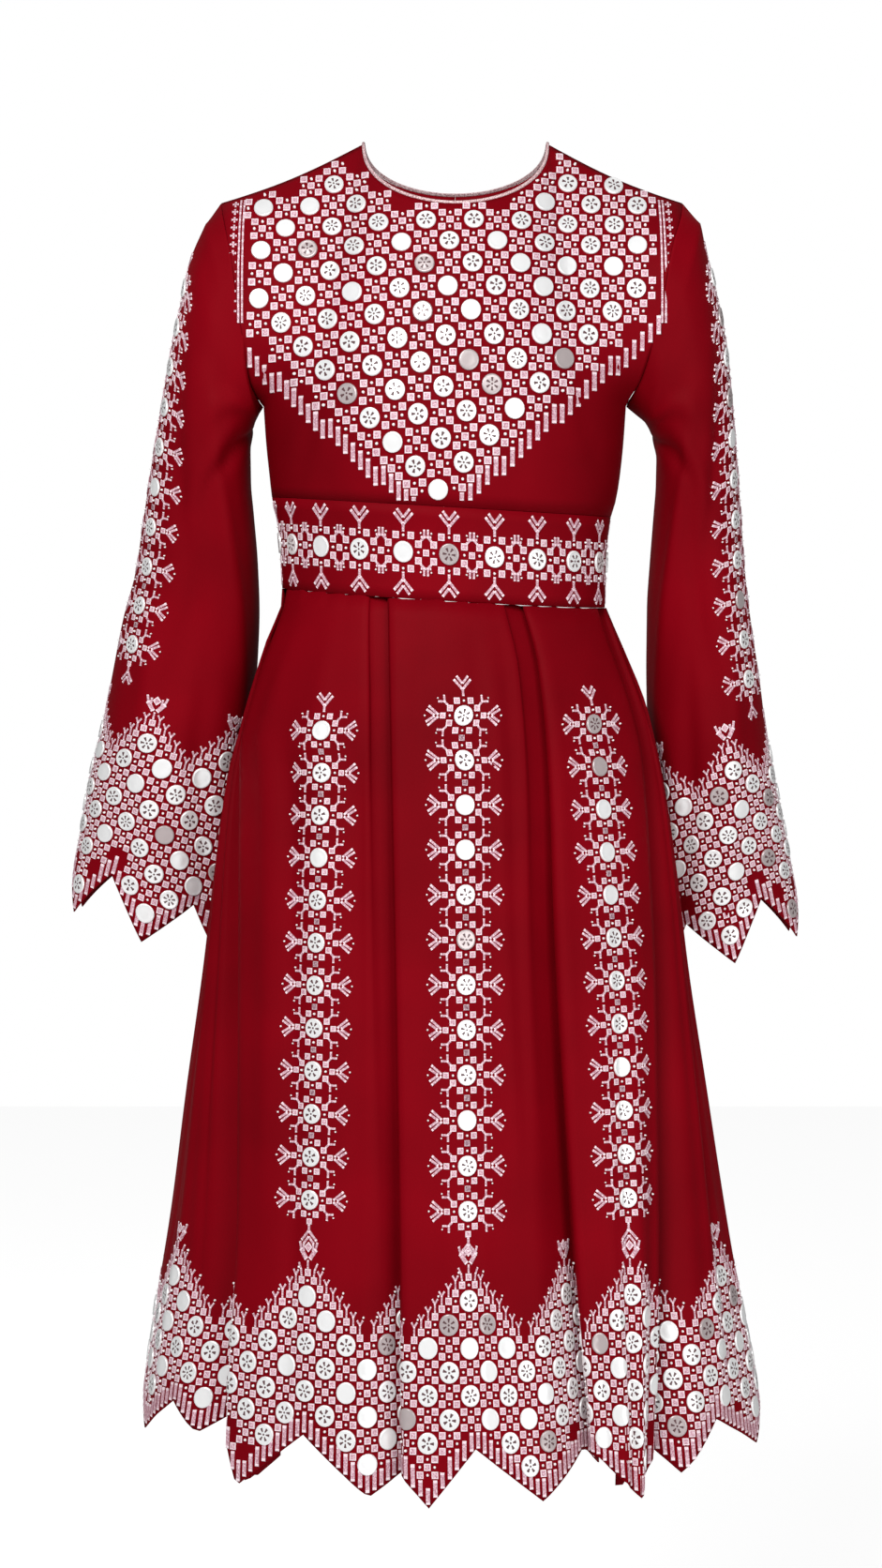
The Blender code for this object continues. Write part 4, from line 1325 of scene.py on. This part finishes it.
def sleeveMap(array, rings, side, low, high, step):
    # Rows at even lengths down the strip's line; across is length round the sleeve from it
    last = len(rings) - 1
    down, around = array.shape[0] - 1, array.shape[1]
    places = np.linspace(-1, last, down + 1)
    centres, line = [], []
    for r, place in enumerate(places):
        angle = flowing(stripAngles, place, 1) / 360 * around
        centres.append(angle)
        i = int(angle)
        line.append(array[r, i] * (1 - (angle - i)) + array[r, (i + 1) % around] * (angle - i))
    line = np.array(line)
    lengths = np.concatenate([[0], np.cumsum(np.linalg.norm(np.diff(line, axis=0), axis=1))])
    extra = 0.052
    end = array[-1] + np.array((side * 0.2, 0.0, -1.0)) * (extra / 1.02)
    rows = np.concatenate([array, end[None]])
    lengths = np.concatenate([lengths, [lengths[-1] + extra]])
    centres.append(centres[-1])
    downEven = np.arange(0, lengths[-1], 0.004)
    acrossValues = np.arange(low, high + step / 2, step)
    grid = []
    for length in downEven:
        r = min(np.searchsorted(lengths, length, side="right") - 1, len(lengths) - 2)
        share = (length - lengths[r]) / (lengths[r + 1] - lengths[r])
        row = rows[r] * (1 - share) + rows[r + 1] * share
        centre = centres[r] * (1 - share) + centres[r + 1] * share
        closed = np.concatenate([row, row, row])
        steps = np.linalg.norm(np.diff(closed, axis=0), axis=1)
        arc = np.concatenate([[0], np.cumsum(steps)])
        zero = np.interp(centre + around, np.arange(len(arc)), arc)
        direction = 1 if side < 0 else -1
        wanted = zero + acrossValues * direction
        grid.append(np.stack([np.interp(wanted, arc, closed[:, k]) for k in range(3)], axis=1))
    grid = np.array(grid)
    chart = {"p": grid, "n": sectionNormals(grid), "a0": acrossValues[0], "da": step,
             "v0": 0.0, "dv": 0.004}
    return chart, lengths, line


def laySleeve(prefix, array, rings, side, firstZ, discs, pitch, peakUnits):
    around = array.shape[1]
    chart, lengths, line = sleeveMap(array, rings, side, -0.225, 0.225, 0.0035)
    firstLength = float(np.interp(-firstZ, -line[:, 2], lengths[:-1]))
    batches = threeBatches()
    layStrip(batches, discs, firstLength, pitch, 0.0056, pitch / 6.0, sleeveMapSettings["discSize"], 0.0001)
    madePieces.extend(shipBatches(batches, chart, prefix + "Strip"))
    ring = array[-1]
    closed = np.concatenate([ring, ring[:1]])
    arc = np.concatenate([[0], np.cumsum(np.linalg.norm(np.diff(closed, axis=0), axis=1))])
    zero = np.interp(flowing(stripAngles, len(rings) - 1, 1) / 360 * around, np.arange(len(arc)), arc)
    total = arc[-1]
    unitA = total / 72
    unitD = sleeveMapSettings["unitDown"]
    edgeLength = lengths[-2]
    peak = edgeLength - peakUnits * unitD
    direction = 1 if side < 0 else -1

    def edge(x):
        place = (zero + direction * x * unitA) % total
        j = np.interp(place, arc, np.arange(len(arc)))
        wave = abs(((j / (around / 6) + 0.5) % 1.0) - 0.5) * 2
        return peakUnits + cuffZigzag * wave / unitD

    shifted = threeBatches()
    layBandShift(shifted, -36, 35, 12, 6, edge, unitA, unitD)
    for kind in shifted.values():
        kind["down"] = [d + peak for d in kind["down"]]
    madePieces.extend(shipBatches(shifted, chart, prefix + "Cuff"))


def layBandShift(batches, first, last, period, shift, edge, unitA, unitD):
    # A cuff band whose valley stands under the strip
    half = period // 2
    for x in range(first, last + 1):
        away = abs((x - shift + half) % period - half)
        low = edge(x) - 3.0
        for y in range(away, int(low) + 1):
            kind = latticeCell(x - shift, y)
            if kind == "disc":
                if y - 1.9 >= away - 1 and y + 1.4 <= low + 1.2:
                    lay(batches, "disc", x, y, unitA, unitD, 1.38)
            elif kind == "dot":
                lay(batches, "dot", x, y, unitA, unitD, 0.19)
            elif kind == "square":
                lay(batches, "square", x, y, unitA, unitD, 0.93)
        start = int(low) + 0.62
        addStroke(batches["stitches"], x, start, x, edge(x) - 0.35, 0.58, unitA, unitD, 2)
        if away == 0:
            layCrown(batches, x, 0, unitA, unitD)
        else:
            addStroke(batches["stitches"], x, away - 0.5, x, away - 1.7, 0.25, unitA, unitD)
            addStroke(batches["stitches"], x, away - 1.6, x - 0.42, away - 2.25, 0.26, unitA, unitD)
            addStroke(batches["stitches"], x, away - 1.6, x + 0.42, away - 2.25, 0.26, unitA, unitD)


laySleeve("rightSleeve", rightArray, sleeveRingsRight, -1, -0.126, 10, 0.0340, 23.6)
laySleeve("leftSleeve", leftArray, sleeveRingsLeft, 1, -0.117, 11, 0.0343, 23.6)
print("stage: sleeve embroidery laid")

# Bodice embroidery
bibSettings = {"unitA": 0.00655, "unitD": 0.00700, "discSize": 1.24, "slope": 0.86, "tilt": 0.10,
               "leftLine": -0.1750, "rightLine": 0.1750,
               "lineTop": -0.052, "lineLow": -0.160, "lineWidth": 0.24, "lineShifts": (0.0, 0.45),
               "lineSteps": 16, "crossPitch": 0.0086, "crossShift": 1.15, "crossReach": 0.4}


def frontTree():
    rows, columns = frontArray.shape[:2]
    points = [Vector(p) for p in frontArray.reshape(-1, 3)]
    faces = []
    for r in range(rows - 1):
        for c in range(columns - 1):
            k = r * columns + c
            faces.append((k, k + 1, k + 1 + columns, k + columns))
    return BVHTree.FromPolygons(points, faces)


tree = frontTree()


def depthAt(x, z):
    hit = tree.ray_cast(Vector((x, -1.0, z)), Vector((0, 1, 0)))
    return hit[0].y if hit[0] is not None else None


def bibMap():
    # Front of the bodice: across is x from the centre, down is length from the neck down
    heights = np.arange(-0.006, -0.314, -0.002)
    xs = np.arange(-0.190, 0.1901, 0.005)
    depths = []
    for z in heights:
        row = []
        for x in xs:
            y = depthAt(x, z)
            row.append(np.nan if y is None else y)
        depths.append(row)
    depths = np.array(depths)
    for c in range(len(xs)):
        column = depths[:, c]
        known = np.where(~np.isnan(column))[0]
        if len(known):
            depths[:, c] = np.interp(np.arange(len(column)), known, column[known])
        else:
            depths[:, c] = 0.0
    middle = int(round((0.19 + neck["x"]) / 0.005))
    start = np.argmax(heights < -0.064)
    profile = depths[:, middle].copy()
    profile[:start] = profile[start] + (np.arange(start) - start) * -0.0009
    lengths = np.concatenate([[0], np.cumsum(np.hypot(np.diff(profile), np.diff(heights)))])
    even = np.arange(0, lengths[-1], 0.003)
    z = np.interp(even, lengths, heights)
    grid = []
    for value in z:
        r = (heights[0] - value) / 0.002
        low = int(min(r, len(heights) - 2))
        part = r - low
        y = depths[low] * (1 - part) + depths[low + 1] * part
        grid.append(np.stack([xs, y, np.full_like(xs, value)], axis=1))
    grid = np.array(grid)
    return {"p": grid, "n": sectionNormals(grid), "a0": xs[0], "da": 0.005, "v0": 0.0, "dv": 0.003}, even, z


bibChart, bibLengths, bibHeights = bibMap()


def bibDown(z):
    return float(np.interp(-z, -bibHeights, bibLengths))


def layBib(settings):
    # Lattice of discs and squares inside the neck, the side lines and the V edge
    unitA, unitD = settings["unitA"], settings["unitD"]
    tip = bibDown(-0.3016) + 3 * unitD
    lowest = bibDown(-0.3085)
    batches = threeBatches()
    stitches = batches["stitches"]

    def centreAt(d):
        return -0.0005 - 0.0123 * max(0.0, d / tip) ** 1.6

    def place(x, y):
        d = tip - y * unitD
        tilt = settings["tilt"] * min(1.0, max(0.0, d / tip)) ** 1.5
        return x * unitA + centreAt(d), d - tilt * x * unitA

    def inside(x, y, margin):
        a, d = place(x, y)
        z = float(np.interp(d, bibLengths, bibHeights))
        if a < settings["leftLine"] + 0.001 + margin or a > settings["rightLine"] - 0.001 - margin:
            return False
        if d < 0.002 or d > lowest - margin:
            return False
        share = (a - neck["x"]) / (neck["half"] + margin)
        if abs(share) < 1:
            if z > neck["z"] - (neck["frontDrop"] + margin) * math.sqrt(1 - share * share):
                return False
        shoulder = -0.0078 - 0.435 * max(0.0, abs(a - neck["x"]) - neck["half"])
        return z < shoulder - margin - 0.001

    slope = settings["slope"]
    for x in range(-27, 28):
        first = math.ceil(abs(x) * slope)
        for y in range(first, 50):
            kind = latticeCell(x + 3, y - 3)
            a, d = place(x, y)
            if kind == "disc":
                if y - 1.2 >= first - 1 and inside(x, y, 0.006):
                    lay(batches, "disc", a / unitA, d / unitD, unitA, unitD, settings["discSize"])
            elif kind and inside(x, y, 0.002):
                lay(batches, kind, a / unitA, d / unitD, unitA, unitD, 0.92 if kind == "square" else 0.19)
        a, d = place(x, first - 0.6)
        if abs(x) > 0 and settings["leftLine"] < a < settings["rightLine"] and d < lowest:
            stop = min(d + 2.3 * unitD, lowest + 0.002)
            addStroke(stitches, a / unitA, d / unitD, a / unitA, stop / unitD, 0.56, unitA, unitD, 2)
    for side, line in ((-1, settings["leftLine"]), (1, settings["rightLine"])):
        start, stop = bibDown(settings["lineTop"]), bibDown(settings["lineLow"])
        for shift in settings["lineShifts"]:
            a = line / unitA + side * shift
            steps = settings["lineSteps"]
            for k in range(steps):
                d = start + (stop - start) * k / steps
                end = (d + (stop - start) / steps) / unitD
                addStroke(stitches, a, d / unitD, a, end, settings["lineWidth"], unitA, unitD)
        reach, width = settings["crossReach"], settings["lineWidth"]
        for k in range(int((stop - start) / settings["crossPitch"])):
            d = (start + settings["crossPitch"] * (k + 0.5)) / unitD
            a = line / unitA + side * settings["crossShift"]
            addStroke(stitches, a - reach, d, a + reach, d, width, unitA, unitD)
            addStroke(stitches, a, d - reach, a, d + reach, width, unitA, unitD)
    madePieces.extend(shipBatches(batches, bibChart, "bib"))


layBib(bibSettings)
print("stage: bib laid")

bandMapSettings = {"unitA": 0.0063, "unitD": 0.0068, "discSize": 1.30}


def bandMap(start):
    downEven = np.arange(0, bandHeight + 0.0021, 0.004)
    turns = np.linspace(start - 0.03, start + math.pi + 0.03, 150)
    acrossValues = np.arange(-0.22, 0.2201, 0.003)
    grid = []
    for down in downEven:
        row = np.array([tuple(trunkPoint(turn, waistHeight(turn) + bandHeight - down)) for turn in turns])
        steps = np.linalg.norm(np.diff(row, axis=0), axis=1)
        arc = np.concatenate([[0], np.cumsum(steps)])
        zero = np.interp(start + math.pi / 2, turns, arc)
        grid.append(np.stack([np.interp(acrossValues + zero, arc, row[:, k]) for k in range(3)], axis=1))
    grid = np.array(grid)
    return {"p": grid, "n": sectionNormals(grid), "a0": -0.22, "da": 0.003, "v0": 0.0, "dv": 0.004}


def layBandMotifs():
    for prefix, start in (("bandFront", -math.pi / 2), ("bandBack", math.pi / 2)):
        chart = bandMap(start)
        batches = threeBatches()
        unitA, unitD = bandMapSettings["unitA"], bandMapSettings["unitD"]
        middle = bandHeight / 2 / unitD
        for k in range(-5, 6):
            x = k * 6 + 0.7
            if abs(x) * unitA > 0.192:
                continue
            layMotif(batches, x, middle, unitA, unitD, bandMapSettings["discSize"], False, False, False)
            lay(batches, "square", x + 3, middle, unitA, unitD, 0.82)
            for rise in (-1, 1):
                layArrow(batches, x, middle + 2.4 * rise, rise, unitA, unitD)
        madePieces.extend(shipBatches(batches, chart, prefix))


layBandMotifs()
print("stage: waistband embroidery laid")

# Materials


def groupSocket(group, name, kind, way):
    return group.interface.new_socket(name=name, in_out=way, socket_type=kind)


def newMaterial(name):
    material = bpy.data.materials.new(name)
    material.use_nodes = True
    return material, material.node_tree, material.node_tree.nodes["Principled BSDF"]


def ramp(tree, stops):
    node = tree.nodes.new("ShaderNodeValToRGB")
    for k, (place, colour) in enumerate(stops):
        if k < 2:
            element = node.color_ramp.elements[k]
            element.position = place
        else:
            element = node.color_ramp.elements.new(place)
        element.color = colour + (1.0,)
    return node


clothLook = {
    "base": (0.205, 0.0000, 0.0045),
    "deep": (0.140, 0.0000, 0.0030),
    "sheen": (0.60, 0.0, 0.01),
    "blotchScale": 7.0,
    "blotchDetail": 3.0,
    "grainScale": 1500.0,
    "grainDetail": 2.0,
    "grainStretch": (1.0, 1.0, 0.35),
    "reliefStrength": 0.16,
    "reliefDepth": 0.0005,
    "roughness": 0.62,
    "specular": 0.04,
    "sheenWeight": 0.05,
    "sheenRoughness": 0.4,
}


def mathNodes(tree):
    # Gives a function that adds a maths node to this tree and returns its value
    def value(operation, a, b=None):
        node = tree.nodes.new("ShaderNodeMath")
        node.operation = operation
        for socket, item in zip(node.inputs, (a, b)):
            if item is None:
                continue
            if isinstance(item, (int, float)):
                socket.default_value = item
            else:
                tree.links.new(item, socket)
        return node.outputs["Value"]

    return value


def makeClothGroup(look):
    # Uneven dye and fine grain shared by every cloth piece: gives a colour and a normal
    group = bpy.data.node_groups.new("clothWeave", "ShaderNodeTree")
    groupSocket(group, "Seed", "NodeSocketFloat", "INPUT")
    groupSocket(group, "Color", "NodeSocketColor", "OUTPUT")
    groupSocket(group, "Normal", "NodeSocketVector", "OUTPUT")
    nodes, links = group.nodes, group.links
    given = nodes.new("NodeGroupInput")
    result = nodes.new("NodeGroupOutput")
    place = nodes.new("ShaderNodeTexCoord")
    blotch = nodes.new("ShaderNodeTexNoise")
    blotch.noise_dimensions = "4D"
    blotch.inputs["Scale"].default_value = look["blotchScale"]
    blotch.inputs["Detail"].default_value = look["blotchDetail"]
    links.new(given.outputs["Seed"], blotch.inputs["W"])
    links.new(place.outputs["Object"], blotch.inputs["Vector"])
    tones = ramp(group, ((0.3, look["deep"]), (0.7, look["base"])))
    links.new(blotch.outputs["Fac"], tones.inputs["Fac"])
    links.new(tones.outputs["Color"], result.inputs["Color"])
    grain = nodes.new("ShaderNodeTexNoise")
    grain.inputs["Scale"].default_value = look["grainScale"]
    grain.inputs["Detail"].default_value = look["grainDetail"]
    stretch = nodes.new("ShaderNodeMapping")
    stretch.inputs["Scale"].default_value = look["grainStretch"]
    links.new(place.outputs["Object"], stretch.inputs["Vector"])
    links.new(stretch.outputs["Vector"], grain.inputs["Vector"])
    relief = nodes.new("ShaderNodeBump")
    relief.inputs["Strength"].default_value = look["reliefStrength"]
    relief.inputs["Distance"].default_value = look["reliefDepth"]
    links.new(grain.outputs["Fac"], relief.inputs["Height"])
    links.new(relief.outputs["Normal"], result.inputs["Normal"])
    return group


def clothMaterial(name, look, seed, group):
    material, tree, shader = newMaterial(name)
    weave = tree.nodes.new("ShaderNodeGroup")
    weave.node_tree = group
    weave.inputs["Seed"].default_value = seed
    tree.links.new(weave.outputs["Color"], shader.inputs["Base Color"])
    tree.links.new(weave.outputs["Normal"], shader.inputs["Normal"])
    shader.inputs["Roughness"].default_value = look["roughness"]
    shader.inputs["Specular IOR Level"].default_value = look["specular"]
    shader.inputs["Sheen Weight"].default_value = look["sheenWeight"]
    shader.inputs["Sheen Roughness"].default_value = look["sheenRoughness"]
    shader.inputs["Sheen Tint"].default_value = look["sheen"] + (1.0,)
    return material


stitchLook = {"fill": (0.60, 0.36, 0.42), "edge": (0.86, 0.70, 0.75), "gap": (0.42, 0.19, 0.25)}


def stitchMaterial(name, look):
    # Thread patches: paler rim, woven rows inside; the uv tile says which kind of patch it is
    material, tree, shader = newMaterial(name)
    nodes, links = tree.nodes, tree.links
    place = nodes.new("ShaderNodeUVMap")
    place.uv_map = "thread"
    parts = nodes.new("ShaderNodeSeparateXYZ")
    links.new(place.outputs["UV"], parts.inputs["Vector"])

    value = mathNodes(tree)
    across = value("FRACT", value("ADD", parts.outputs["X"], 0.0001))
    rim = value("ABSOLUTE", value("SUBTRACT", across, 0.5))
    kind = value("GREATER_THAN", parts.outputs["X"], 50.0)
    downRim = value("ABSOLUTE", value("SUBTRACT", parts.outputs["Y"], 0.5))
    squareRim = value("MAXIMUM", rim, value("MULTIPLY", downRim, value("SUBTRACT", 1.0, kind)))
    outline = value("GREATER_THAN", squareRim, 0.38)
    weave = nodes.new("ShaderNodeTexNoise")
    weave.inputs["Scale"].default_value = 900.0
    weave.inputs["Detail"].default_value = 2.0
    spot = nodes.new("ShaderNodeTexCoord")
    links.new(spot.outputs["Object"], weave.inputs["Vector"])
    tones = ramp(tree, ((0.36, look["gap"]), (0.52, look["fill"]), (0.75, look["edge"])))
    links.new(weave.outputs["Fac"], tones.inputs["Fac"])
    mix = nodes.new("ShaderNodeMix")
    mix.data_type = "RGBA"
    links.new(outline, mix.inputs["Factor"])
    links.new(tones.outputs["Color"], mix.inputs["A"])
    mix.inputs["B"].default_value = look["edge"] + (1.0,)
    links.new(mix.outputs["Result"], shader.inputs["Base Color"])
    relief = nodes.new("ShaderNodeBump")
    relief.inputs["Strength"].default_value = 0.5
    relief.inputs["Distance"].default_value = 0.0006
    links.new(weave.outputs["Fac"], relief.inputs["Height"])
    links.new(relief.outputs["Normal"], shader.inputs["Normal"])
    shader.inputs["Roughness"].default_value = 0.55
    return material


def dotMaterial(name):
    material, tree, shader = newMaterial(name)
    shader.inputs["Base Color"].default_value = (0.90, 0.86, 0.86, 1.0)
    shader.inputs["Roughness"].default_value = 0.25
    shader.inputs["Coat Weight"].default_value = 0.4
    return material


def discMaterial(name):
    # Pearly metal discs with dark seed-shaped pits, some tarnished
    material, tree, shader = newMaterial(name)
    nodes, links = tree.nodes, tree.links
    place = nodes.new("ShaderNodeUVMap")
    place.uv_map = "thread"
    parts = nodes.new("ShaderNodeSeparateXYZ")
    links.new(place.outputs["UV"], parts.inputs["Vector"])

    value = mathNodes(tree)
    seed = value("ROUND", value("DIVIDE", parts.outputs["X"], 4.0))
    localX = value("SUBTRACT", parts.outputs["X"], value("MULTIPLY", seed, 4.0))
    localY = parts.outputs["Y"]
    squareX = value("MULTIPLY", localX, localX)
    squareY = value("MULTIPLY", localY, localY)
    radius = value("SQRT", value("ADD", squareX, squareY))
    chance = nodes.new("ShaderNodeTexWhiteNoise")
    chance.noise_dimensions = "1D"
    links.new(seed, chance.inputs["W"])
    angle = value("ARCTAN2", localY, localX)
    turned = value("ADD", angle, value("MULTIPLY", chance.outputs["Value"], 6.28))
    petals = value("ADD", 5.0, value("FLOOR", value("MULTIPLY", chance.outputs["Value"], 2.4)))
    wave = value("COSINE", value("MULTIPLY", turned, petals))
    ring = value("SUBTRACT", 1.0, value("MULTIPLY", value("ABSOLUTE", value("SUBTRACT", radius, 0.44)), 4.0))
    pits = value("MULTIPLY", value("GREATER_THAN", wave, 0.35), value("GREATER_THAN", ring, 0.22))
    heart = value("LESS_THAN", radius, 0.10)
    pits = value("MAXIMUM", pits, heart)
    some = value("GREATER_THAN", value("FRACT", value("MULTIPLY", chance.outputs["Value"], 7.31)), 0.22)
    pits = value("MULTIPLY", pits, some)
    dull = value("GREATER_THAN", value("FRACT", value("MULTIPLY", chance.outputs["Value"], 13.7)), 0.92)
    edge = value("GREATER_THAN", radius, 0.86)
    mixPit = nodes.new("ShaderNodeMix")
    mixPit.data_type = "RGBA"
    mixDull = nodes.new("ShaderNodeMix")
    mixDull.data_type = "RGBA"
    mixDull.inputs["A"].default_value = (0.95, 0.95, 0.95, 1.0)
    mixDull.inputs["B"].default_value = (0.50, 0.43, 0.43, 1.0)
    links.new(dull, mixDull.inputs["Factor"])
    links.new(pits, mixPit.inputs["Factor"])
    links.new(mixDull.outputs["Result"], mixPit.inputs["A"])
    mixPit.inputs["B"].default_value = (0.10, 0.045, 0.05, 1.0)
    links.new(mixPit.outputs["Result"], shader.inputs["Base Color"])
    metal = value("MULTIPLY", value("SUBTRACT", 1.0, pits), 0.35)
    links.new(metal, shader.inputs["Metallic"])
    relief = nodes.new("ShaderNodeBump")
    relief.inputs["Strength"].default_value = 0.7
    relief.inputs["Distance"].default_value = 0.0008
    links.new(value("SUBTRACT", value("MULTIPLY", edge, 0.4), pits), relief.inputs["Height"])
    links.new(relief.outputs["Normal"], shader.inputs["Normal"])
    shader.inputs["Roughness"].default_value = 0.30
    return material


def bindingMaterial(name):
    material, tree, shader = newMaterial(name)
    nodes, links = tree.nodes, tree.links
    place = nodes.new("ShaderNodeTexCoord")
    weave = nodes.new("ShaderNodeTexNoise")
    weave.inputs["Scale"].default_value = 1100.0
    links.new(place.outputs["Object"], weave.inputs["Vector"])
    tones = ramp(tree, ((0.35, (0.30, 0.10, 0.12)), (0.6, (0.80, 0.62, 0.62))))
    links.new(weave.outputs["Fac"], tones.inputs["Fac"])
    links.new(tones.outputs["Color"], shader.inputs["Base Color"])
    shader.inputs["Roughness"].default_value = 0.5
    return material


def paint(thing, material):
    thing.data.materials.clear()
    thing.data.materials.append(material)


clothGroup = makeClothGroup(clothLook)
clothPieces = [bodiceFront] + bodiceBacks + bandPieces + skirtPieces + [sleeveRight, sleeveLeft]
for seed, piece in enumerate(clothPieces):
    paint(piece, clothMaterial(piece.name + "Cloth", clothLook, seed * 1.7, clothGroup))
paint(neckBinding, bindingMaterial("bindingBraid"))
threadMaterial = stitchMaterial("stitchThread", stitchLook)
beadMaterial = dotMaterial("whiteBead")
coinMaterial = discMaterial("sewnDisc")
for part, piece in madePieces:
    paint(piece, {"stitches": threadMaterial, "dots": beadMaterial, "discs": coinMaterial}[part])
    for polygon in piece.data.polygons:
        polygon.use_smooth = part != "stitches"
print("stage: materials set")

# Floor, backdrop and lights


def makeStage():
    bpy.ops.mesh.primitive_plane_add(size=12, location=(0, 0, -1.62))
    floor = bpy.context.object
    floor.name = "paleFloor"
    material, tree, shader = newMaterial("paleFloor")
    shader.inputs["Base Color"].default_value = (0.8, 0.8, 0.8, 1.0)
    shader.inputs["Roughness"].default_value = 0.9
    shader.inputs["Specular IOR Level"].default_value = 0.0
    shader.inputs["Emission Color"].default_value = (1.0, 1.0, 1.0, 1.0)
    rays = tree.nodes.new("ShaderNodeLightPath")
    glow = tree.nodes.new("ShaderNodeMath")
    glow.operation = "MULTIPLY"
    glow.inputs[1].default_value = 0.72
    tree.links.new(rays.outputs["Is Camera Ray"], glow.inputs[0])
    tree.links.new(glow.outputs["Value"], shader.inputs["Emission Strength"])
    paint(floor, material)
    world = bpy.data.worlds.new("studio")
    bpy.context.scene.world = world
    world.use_nodes = True
    tree = world.node_tree
    background = tree.nodes["Background"]
    background.inputs["Color"].default_value = (1.0, 1.0, 1.0, 1.0)
    rays = tree.nodes.new("ShaderNodeLightPath")
    strength = tree.nodes.new("ShaderNodeMapRange")
    strength.inputs["To Min"].default_value = 0.26
    strength.inputs["To Max"].default_value = 1.0
    tree.links.new(rays.outputs["Is Camera Ray"], strength.inputs["Value"])
    tree.links.new(strength.outputs["Result"], background.inputs["Strength"])


def makeLight(name, place, aim, size, power, colour=(1, 1, 1)):
    bpy.ops.object.light_add(type="AREA", location=place)
    light = bpy.context.object
    light.name = name
    light.data.size = size
    light.data.energy = power
    light.data.color = colour
    light.rotation_euler = (Vector(aim) - Vector(place)).to_track_quat("-Z", "Y").to_euler()
    return light


makeStage()
makeLight("softKey", (-0.9, -2.6, 1.3), (0, 0, -0.5), 1.3, 88)
makeLight("softFill", (1.5, -2.4, -0.2), (0, 0, -0.8), 1.6, 30)
bpy.context.scene.view_settings.view_transform = "Standard"
print("stage: lights set")
